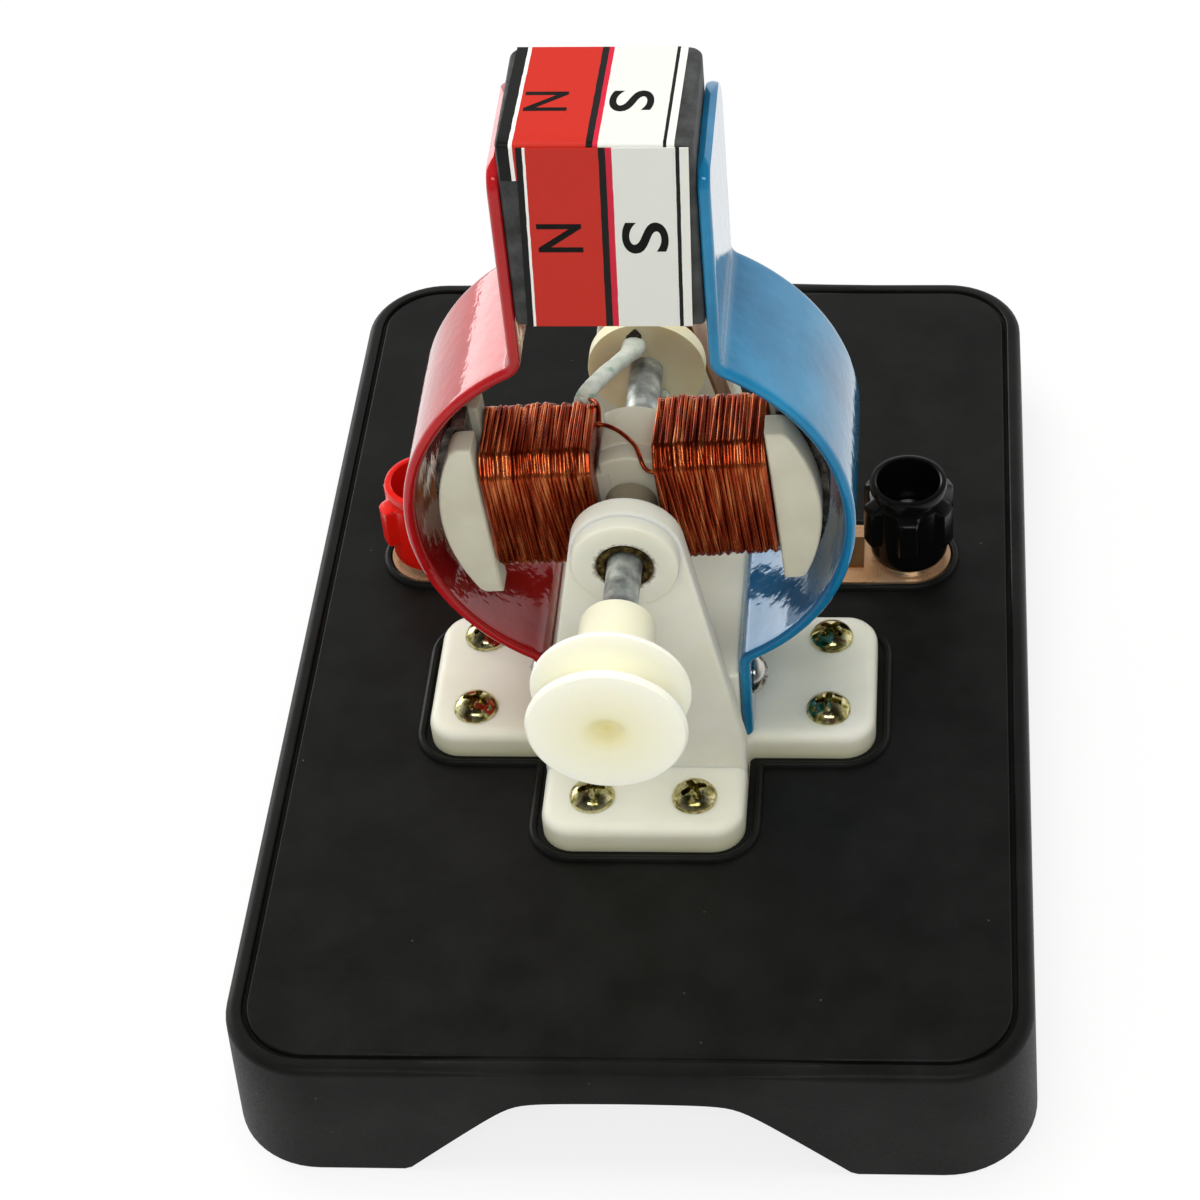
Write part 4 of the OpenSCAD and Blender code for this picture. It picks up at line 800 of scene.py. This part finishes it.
face_y, top_z = magnet_low.y, magnet_high.z
label_edge = 0.3 * mm
top_w, fold_r, fold, top_askew = 18.7 * mm, 0.45 * mm, 4.6 * mm, 0.45 * mm
front_w, front_askew = 18.2 * mm, math.radians(2.1)
top_rows, fold_rows, front_rows = 12, 5, 25
up, forth = [0.0, 1.0], [-1.0, 0.0]
over = np.radians(np.linspace(0, 90, 7))
top_line = np.concatenate([
    np.column_stack([np.linspace(magnet_high.y - label_edge, face_y + fold_r, top_rows),
                     np.full(top_rows, top_z)]),
    np.column_stack([face_y + fold_r - fold_r * np.sin(over), top_z - fold_r + fold_r * np.cos(over)])[1:],
    np.column_stack([np.full(fold_rows, face_y),
                     np.linspace(top_z - fold_r, top_z - fold, fold_rows + 1)[1:]]),
])
top_out = np.concatenate([np.tile(up, (top_rows, 1)), np.column_stack([-np.sin(over), np.cos(over)])[1:],
                          np.tile(forth, (fold_rows, 1))])
askew = np.interp(top_line[:, 0], [magnet_low.y, magnet_high.y], [0, top_askew])
top_left = magnet_low.x + label_edge + askew
top_x = np.column_stack([top_left, top_left + top_w])
label("top_label_print", top_line, top_x, top_out, top_marks, ["magnet_top_label"])
front_z = np.linspace(magnet_low.z + label_edge / 2, top_z - label_edge, front_rows)
front_left = magnet_low.x + 2.3 * mm - (top_z - front_z) * math.tan(front_askew)
front_x = np.column_stack([front_left, front_left + front_w])
front_line = np.column_stack([np.full(front_rows, face_y - glue_t), front_z])
label("front_label_print", front_line, front_x, np.tile(forth, (front_rows, 1)), front_marks,
      ["magnet_front_label"])

# Pole letters: generic marks, printed flat black and lying on their sides. In millimetres, each has the X
# of its middle, its height and its width.
letter_ink, *_ = surface("black print", ["#0c0c0b", "#141312"], mottle=2 * mm, grain=0.4 * mm,
                         depth=0.002 * mm, rough=(0.4, 0.5), **{"Specular IOR Level": 0.15})
letter_t, top_letter_y, front_letter_z = 0.02 * mm, 7.6 * mm, 12.1 * mm
for name, sign, x, tall, wide, on_top in (
    ("north_mark_top", "N", -5.65, 4.65, 3.5, True), ("south_mark_top", "S", 3.5, 4.8, 3.8, True),
    ("north_mark_front", "N", -4.5, 4.85, 3.8, False), ("south_mark_front", "S", 4.7, 5.0, 4.2, False),
):
    drawn = bpy.data.curves.new(name, "FONT")
    drawn.body, drawn.align_x, drawn.align_y = sign, "CENTER", "CENTER"
    drawn.size, drawn.extrude, drawn.resolution_u, drawn.offset = 1.0, 0.004, 8, 0.013
    holder = bpy.data.objects.new(name, drawn)
    mesh = bpy.data.meshes.new_from_object(holder)
    bpy.data.objects.remove(holder)
    co = np.empty(len(mesh.vertices) * 3)
    mesh.vertices.foreach_get("co", co)
    co = co.reshape(-1, 3)
    co = (co - (co.max(0) + co.min(0)) / 2) / np.ptp(co, axis=0) * [wide * mm, tall * mm, letter_t]
    along_x = x * mm + co[:, 1]
    if on_top:
        co = np.column_stack([along_x, face_y + top_letter_y - co[:, 0], top_z + label_t + co[:, 2]])
    else:
        co = np.column_stack([along_x, face_y - glue_t - label_t - co[:, 2],
                              top_z - front_letter_z - co[:, 0]])
    faces = [list(p.vertices) for p in mesh.polygons]
    piece(name, [(co, faces)], letter_ink, "magnet_block", sharp=30)


# ---------------------------------------------------------------- shaft
# A length of galvanised steel rod. The pulley, the rotor and the commutator are pressed on it, and it turns
# in the two bushes. Dull zinc bloom breaks its shine into light and dark grey patches.
galvanised, *_ = surface("galvanised steel rod", ["#77767c", "#9aa09d", "#b6bdb8", "#dfe3dd"],
                         mottle=2.2 * mm, grain=0.4 * mm, depth=0.03 * mm, rough=(0.3, 0.55), Metallic=0.6)
dress("rotor_shaft", galvanised)


# ---------------------------------------------------------------- pulley
# A small belt pulley of cream nylon, pressed on the shaft: two dished flanges with soft rims, a vee
# groove between them, a hub behind and a blind dimple in front.

# Cream nylon lets light in further than the bracket's. Its colour is painted warmer and darker towards the
# middle, in rings that take the place of the surface's own tones.
cream, tree, place, shader = surface(
    "cream nylon, moulded", ["#efebcf", "#f4f1da"], mottle=5 * mm, grain=0.9 * mm, depth=0.015 * mm,
    rough=(0.4, 0.52), **{"Subsurface Weight": 0.4, "Subsurface Scale": 1.5 * mm,
                          "Subsurface Radius": (1.0, 0.85, 0.5)})
warm = add(tree, "ShaderNodeValToRGB", {"Fac": from_axis(tree, place, 9 * mm)},
           stops=[(0.0, "#e2d68c"), (0.16, "#ebe3ae"), (0.36, "#f3f0cf"), (0.9, "#f8f7e6")])
tree.links.new(warm.outputs["Color"], shader.inputs["Base Color"])
pulley_low, pulley_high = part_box("belt_pulley")
pulley_r = (pulley_high.z - pulley_low.z) / 2
rim, back = pulley_r / mm, (pulley_high.y - pulley_low.y) / mm
groove_r, hub_r, bore_r, flanges_w = 4.8, 4.35, 2.07, 7.2
dimple = [(0, 0.8), (0.7, 0.77), (1.3, 0.62), (1.7, 0.34), (2.0, 0.13), (2.3, 0.04), (2.7, 0)]
flange = [(rim - 0.9, 0), (rim - 0.35, 0.1), (rim - 0.08, 0.4), (rim, 0.7), (rim - 0.1, 1.0),
          (rim - 0.5, 1.25), (rim - 1.5, 1.45), (groove_r + 0.6, 2.1), (groove_r, 2.6)]
hub_side = [(hub_r + 0.7, 7.3), (hub_r + 0.1, 7.6), (hub_r, 8.2), (hub_r, back - 0.5),
            (hub_r - 0.15, back - 0.15), (hub_r - 0.5, back), (2.4, back), (bore_r, back - 0.3), (bore_r, 8)]
profile = dimple + flange + [(r, flanges_w - y) for r, y in flange[::-1]] + hub_side
pulley_shell = loft(on_shaft(np.array(profile) * mm, pulley_low.y, steps=120), caps=False)
piece("pulley_moulding", [pulley_shell], cream, "rotor", ["belt_pulley"])


# ---------------------------------------------------------------- rotor core and insulators
# A stack of varnished iron plates runs from pole shoe to pole shoe. Two nylon insulators clip over it
# from front and back: a hub round the shaft, troughs for the wire, and cheeks that hold the windings in.

# Brown varnish over iron: dark, with dull metal where the plates' edges show through
core_iron, *_ = surface("varnished iron plates", ["#2a2420", "#59514a", "#8f8980"], mottle=2.4 * mm,
                        grain=0.3 * mm, depth=0.01 * mm, rough=(0.22, 0.4), Metallic=0.9)
dress("rotor_core", core_iron)
# Unbleached nylon is as milky as the bracket's, but greyer and more straw-coloured
natural_nylon, *_ = surface("natural nylon, unbleached", ["#cbc7b0", "#d8d5c1"], mottle=7 * mm,
                            grain=0.8 * mm, depth=0.012 * mm, rough=(0.36, 0.5), **nylon_glow)
park = math.radians(4)
core_y, core_t = -15.8 * mm, 3.6 * mm
cheek_x, cheek_r, cheek_h, cheek_l = 17 * mm, 22.5 * mm, 11.4 * mm, 3.9 * mm
tip_r = 1.4 * mm
hub_x, hub_h, skin_t, arm_h = 3.2 * mm, 6.4 * mm, 1.1 * mm, 4.1 * mm
lap = 0.02 * mm


def parked(shell):
    """Turns a shell of the rotor about the shaft by the angle at which the rotor stands, right side up."""
    points, faces = shell
    x, z = points[:, 0], points[:, 2] - axis_z
    turned_x = x * math.cos(park) - z * math.sin(park)
    turned_z = x * math.sin(park) + z * math.cos(park)
    return np.column_stack([turned_x, points[:, 1], axis_z + turned_z]), faces


def cheek(side):
    """Outline of a cheek: flat inside, an arc about the shaft outside, with soft tips. An inset shrinks it
    towards its middle, by as much on each side."""
    top = math.asin((cheek_h - tip_r) / (cheek_r - tip_r))
    tip_x = (cheek_r - tip_r) * math.cos(top)
    back = arc_points(0, axis_z, cheek_r, -top, top, 31)
    tips = arc_points(tip_x, axis_z + cheek_h - tip_r, tip_r, top, np.pi / 2, 8)
    upper = np.concatenate([back[16:], tips[1:], [[cheek_x, axis_z + cheek_h]], [[cheek_x, axis_z]]])
    lower = upper[::-1] * [1, -1] + [0, 2 * axis_z]
    whole = np.concatenate([lower[1:], back[15:16], upper[:-1]])
    centre = np.array([(cheek_x + cheek_r) / 2, axis_z])
    half = np.array([(cheek_r - cheek_x) / 2, cheek_h])
    return lambda inset: (centre + (whole - centre) * (1 - inset / half)) * [side, 1]


def hub(inset):
    """Outline of the hub between the windings: an arc above, its mirror image below, and flat sides."""
    top = math.acos(hub_x / hub_h)
    crown = arc_points(0, axis_z, hub_h - inset, top, np.pi - top, 15)
    crown[:, 0] = np.clip(crown[:, 0], -hub_x + inset, hub_x - inset)
    return np.concatenate([crown, crown[::-1] * [1, -1] + [0, 2 * axis_z]])


def arm(side):
    """Outline of the trough round one arm: a rectangle. It takes no inset, as the winding hides its edges."""
    x0, x1 = side * (hub_x - mm), side * (cheek_x + mm)
    z0, z1 = axis_z - arm_h, axis_z + arm_h
    return lambda inset: np.array([(x0, z0), (x1, z0), (x1, z1), (x0, z1)])


for name, way, hub_l in (("front_insulator", -1, 0.9 * mm), ("rear_insulator", 1, 5 * mm)):
    face = core_y + way * core_t / 2
    root = core_y + way * lap
    shells = [soft_block(hub, standing_ring, root, face + way * hub_l, soft=0.35 * mm)]
    for side in (-1, 1):
        shells.append(soft_block(cheek(side), standing_ring, face - way * lap, face + way * cheek_l,
                                 soft=0.5 * mm))
        shells.append(soft_block(arm(side), standing_ring, root, face + way * skin_t, soft=0.01 * mm))
    piece(f"{name}_moulding", [parked(shell) for shell in shells], natural_nylon, "rotor",
          [name])


# ---------------------------------------------------------------- windings
# Enamelled copper wire wound by hand in layers round each arm. The outer layer wanders: turns lie close,
# ride up on their neighbours, leave gaps, and a few last turns cross the others at a slant.

# Clear enamel over copper gives each turn a bright line on its crown and rust red flanks. The colour changes
# slowly along a turn and fast from turn to turn.
enamelled, *_ = surface("enamelled copper wire", ["#7d260d", "#b0451f", "#e28a52"], mottle=0.9 * mm,
                        grain=1.5 * mm, depth=0.002 * mm, rough=(0.2, 0.3), stretch=(1, 0.12, 0.12),
                        Metallic=0.88)
wire_r = 0.24 * mm
coil_in, coil_out = 3.65 * mm, 16.8 * mm
turn_y, turn_z, turn_r = 6.1 * mm, 7.6 * mm, 1.0 * mm
cut_y, cut_z = 2.1 * mm, 1.7 * mm
crown_rise = 1.2


def round_section(radius, sides, squash=1.0):
    """A circle of so many sides, flattened by `squash` across."""
    a = np.arange(sides) * 2 * np.pi / sides
    return radius * np.column_stack([np.cos(a), squash * np.sin(a)])


def turn_outline(inset, steps, edge_steps=1):
    """One turn seen along the arm: a rectangle whose corners the wire cuts with short straights."""
    corners = np.array([(turn_y - cut_y, -turn_z), (turn_y, cut_z - turn_z), (turn_y, turn_z - cut_z),
                        (turn_y - cut_y, turn_z)])
    corners = np.concatenate([corners, -corners])
    return bent(corners, turn_r, inset, steps=steps, edge_steps=edge_steps)


def crowned(z, crown):
    """Raises the side on top, where crown is 1, or below, where it is -1: the wire lies deeper there."""
    return np.where(z * crown > 0, z * crown_rise, z)


def winding(crown, turns, first_x, last_x, lift, wander, slant, seed):
    """One layer of wire. Its mid line goes round one turn's outline, grown by `lift`, and moves along X by a
    pitch that wanders from turn to turn. Slant tips the turns: top less, bottom more X. A slow noise, with
    a new value every few points, moves the wire along X and outward as well."""
    chance = np.random.default_rng(seed)
    loop = turn_outline(0, 4, 4)
    ahead = np.linalg.norm(np.roll(loop, -1, 0) - loop, axis=1)
    share_round = np.concatenate([[0], np.cumsum(ahead)[:-1]]) / ahead.sum()
    u = np.append((np.arange(turns)[:, None] + share_round).ravel(), turns)
    y, z = np.vstack([np.tile(loop, (turns, 1)), loop[:1]]).T
    count = len(u)
    pitch = np.concatenate([[0], np.cumsum(chance.uniform(1 - wander, 1 + wander, turns))])
    x = first_x + (last_x - first_x) * np.interp(u, np.arange(turns + 1), pitch / pitch[-1])
    every = 5
    slow = chance.normal(0, 1, (2, count // every + 2))
    shift, bulge = (np.interp(np.arange(count), np.arange(slow.shape[1]) * every, row) for row in slow)
    grow = lift + np.abs(bulge) * wander * 0.1 * mm
    x = x + shift * wander * 0.09 * mm - slant * z / turn_z
    x = np.clip(x, coil_in + wire_r, coil_out - wire_r)
    far = np.hypot(y, z)
    grown = 1 + grow / far
    path = np.column_stack([x, core_y + y * grown, axis_z + crowned(z, crown) * grown])
    return loft(swept(path, round_section(wire_r, 7), (1, 0, 0)))


def half_turned(shell):
    """The same shell, half a turn round the shaft: X and the height above the shaft change sign."""
    points, faces = shell
    return np.column_stack([-points[:, 0], points[:, 1], 2 * axis_z - points[:, 2]]), faces


def winding_core(inset):
    """The inner layers under the outer one, seen along the arm."""
    return turn_outline(inset + 0.2 * mm, 4)


def across_arm(crown):
    """Stands an outline of Y and Z across the arm, at x, with its crowned side raised."""
    return lambda outline, x: np.column_stack([np.full(len(outline), x), core_y + outline[:, 0],
                                               axis_z + crowned(outline[:, 1], crown)])


# A whole layer, and two part layers over it: turns, first X, last X, lift, wander and slant of each
wire_layers = [(27, coil_in + wire_r, coil_out - wire_r, 0.0, 0.35, 0.0),
               (9, coil_out - wire_r, coil_out - 6.5 * mm, 0.22 * mm, 0.8, 0.35 * mm),
               (10, coil_in + 7 * mm, coil_in + 0.6 * mm, 0.26 * mm, 0.8, 0.9 * mm)]
for side, seed, place_it, crown in (("right", 11, lambda shell: shell, 1), ("left", 23, half_turned, -1)):
    shells = [soft_block(winding_core, across_arm(crown), coil_in, coil_out, soft=0.2 * mm)]
    shells += [winding(crown, *layer, seed + i) for i, layer in enumerate(wire_layers)]
    piece(f"{side}_winding", [parked(place_it(shell)) for shell in shells], enamelled, "rotor",
          [f"{side}_coil"], sharp=70)


# ---------------------------------------------------------------- link, leads and sleeves
# The two windings are one wire: a bare stretch crosses the hub. The outer ends run back in glass-fibre
# sleeves, white with a pale green tracer, to slots in the commutator's disc.
link_route = [(-3.65, -13.2, 7.4), (-2.95, -13.3, 7.3), (-2.2, -13.6, 7.3), (-1, -14.4, 7.2),
              (0.2, -15.6, 7.05), (1.2, -17, 6.95), (1.8, -18.5, 6.6), (2.2, -19.4, 5.9), (2.8, -19.7, 5.3),
              (3.65, -19.7, 5.1)]
sleeve_route = [(-6.4, -8, 5.6), (-5.7, -7.7, 6.9), (-4.8, -6.6, 7.4), (-3.6, -3, 6.4), (-2.4, 0.4, 5.2),
                (-1.4, 3, 4.4), (-1, 4.4, 4.2), (-1, 6.96, 4.2)]
lead_route = [(-3.62, -12.8, 6.4), (-3.45, -12.3, 7.0), (-3.45, -11.2, 7.5), (-3.7, -10.1, 7.7),
              (-4.3, -9.1, 7.5), (-4.8, -8.5, 7.2), (-5.4, -8, 6.7)]
hair_routes = [[(-1.2, 5.6, 4.8), (-0.9, 6.1, 5.6), (-0.3, 6.5, 6.4), (0, 6.8, 7.3)],
               [(-1.4, 5.8, 4.9), (-1.6, 6.2, 5.5), (-1.3, 6.6, 6.1), (-0.8, 6.9, 6.6)],
               [(-0.8, 5.6, 4.7), (-0.3, 6.0, 5.4), (0.5, 6.4, 5.8), (0.9, 6.8, 6.6)]]


def smooth_way(route, per_span=8):
    """A Catmull-Rom curve through a route of X, Y and height above the shaft, in millimetres: each span is
    the cubic that passes both of its points in the direction of the chord between their neighbours."""
    p = np.array(route, float)
    p = np.vstack([2 * p[0] - p[1], p, 2 * p[-1] - p[-2]])
    t = np.linspace(0, 1, per_span, endpoint=False)[:, None, None]
    a, b, c, d = p[:-3], p[1:-2], p[2:-1], p[3:]
    curve = 0.5 * (2 * b + (c - a) * t + (2 * a - 5 * b + 4 * c - d) * t**2 + (3 * b - a - 3 * c + d) * t**3)
    way = np.vstack([curve.transpose(1, 0, 2).reshape(-1, 3), p[-2:-1]])
    return way * mm + [0, 0, axis_z]


def wire(route, radius, sides, up):
    """A round wire: a circle carried along the smooth curve through a route."""
    return loft(swept(smooth_way(route), round_section(radius, sides), up))


link = wire(link_route, 0.26 * mm, 10, (0, 0, 1))
piece("link_wire", [parked(link)], enamelled, "rotor", ["coil_link_wire"], sharp=70)
leads = [wire(lead_route, wire_r, 10, (0, 0.2, 1))]
leads += [wire(route, 0.15 * mm, 6, (0, 0.2, 1)) for route in hair_routes]
leads = [parked(place_it(shell)) for shell in leads for place_it in (lambda shell: shell, half_turned)]
piece("lead_ends", leads, enamelled, "rotor", ["lead_wires"], sharp=70)
# Woven glass is white, dry and fuzzy, with green tracer threads that show as flecks. Its threads are drawn
# at 0.25 mm, twice as coarse as the real ones, so that they show.
glass_fibre, tree, place, shader = surface("glass-fibre sleeve", ["#c8d2c0", "#dde3d3", "#eef1e6"],
                                           mottle=1.5 * mm, grain=0.25 * mm, depth=0.09 * mm,
                                           rough=(0.55, 0.75))
flecks(tree, place, shader, apart=2.6 * mm, core=0.14, edge=0.24, most=0.6, tone="#5cb98a")
# A flattened tube that swells towards its cut end, where chance frays it
way = smooth_way(sleeve_route, 14)
rings = swept(way, round_section(1.08 * mm, 24, squash=0.8), (0, 0, 1))
widths = 1 + np.interp(way[:, 1] / mm, [2.4, 4.6, 6.0], [0, 0.42, 0.3])
frays = np.random.default_rng(5).normal(0, 0.035, rings.shape[:2])
sleeve = loft(way[:, None] + (rings - way[:, None]) * (widths[:, None] + frays)[..., None])
piece("sleeve_pair", [parked(sleeve), parked(half_turned(sleeve))], glass_fibre, "rotor",
      ["lead_sleeves"], sharp=70)


# ---------------------------------------------------------------- commutator
# A disc and hub of nylon carry two half rings of hard copper, on which the brushes run. The leads enter
# through two slots in the disc and are soldered behind it.

# Painted shade: a thin dull brown-black sheet on the disc's face, where each slot's mouth lies in shadow
slot_shade_paint, *_ = surface("painted slot shade", ["#0d0a07", "#2c2118", "#4a3d2c"], mottle=0.6 * mm, grain=0.2 * mm,
                    depth=0.05 * mm, rough=(0.5, 0.8))
disc_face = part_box("commutator_hub")[0].y


def slot_mouth(inset):
    """The painted shade over a slot's mouth in the disc: five corners of X and height above the shaft, widest
    at the sleeve.
    """
    corners = np.array([(-1.9, 3.2), (-0.1, 3.2), (0.1, 5.6), (-0.5, 6.7), (-1.8, 5.5)]) * mm
    return bent(corners + [0, axis_z], 0.2 * mm, inset)


# A dark sheet standing just proud of the disc: painted shade in each slot's mouth
mouth = soft_block(slot_mouth, standing_ring, disc_face + 0.1 * mm, disc_face - 0.08 * mm, soft=0.04 * mm)
piece("painted_slot_shades", [parked(mouth), parked(half_turned(mouth))], slot_shade_paint, "rotor")
# The same nylon as the bracket's, painted yellower and lighter: painted light that lifts the disc where it
# lies in the magnet's shade
disc_nylon, *_ = surface("nylon painted yellower and lighter", ["#efe5b6", "#f8f1cf"], mottle=6 * mm, grain=0.8 * mm,
                         depth=0.012 * mm, rough=(0.36, 0.5), **nylon_glow)
dress("commutator_hub", disc_nylon)
# Copper that the brushes rub: a soft mirror, redder than the strips
ring_copper, *_ = surface("hard-drawn copper, brushed", ["#a8683c", "#cf8d5a"], mottle=2 * mm,
                          grain=0.2 * mm, depth=0.004 * mm, rough=(0.2, 0.35), Metallic=1.0)
for node in ("upper_segment", "lower_segment"):
    dress(node, ring_copper)
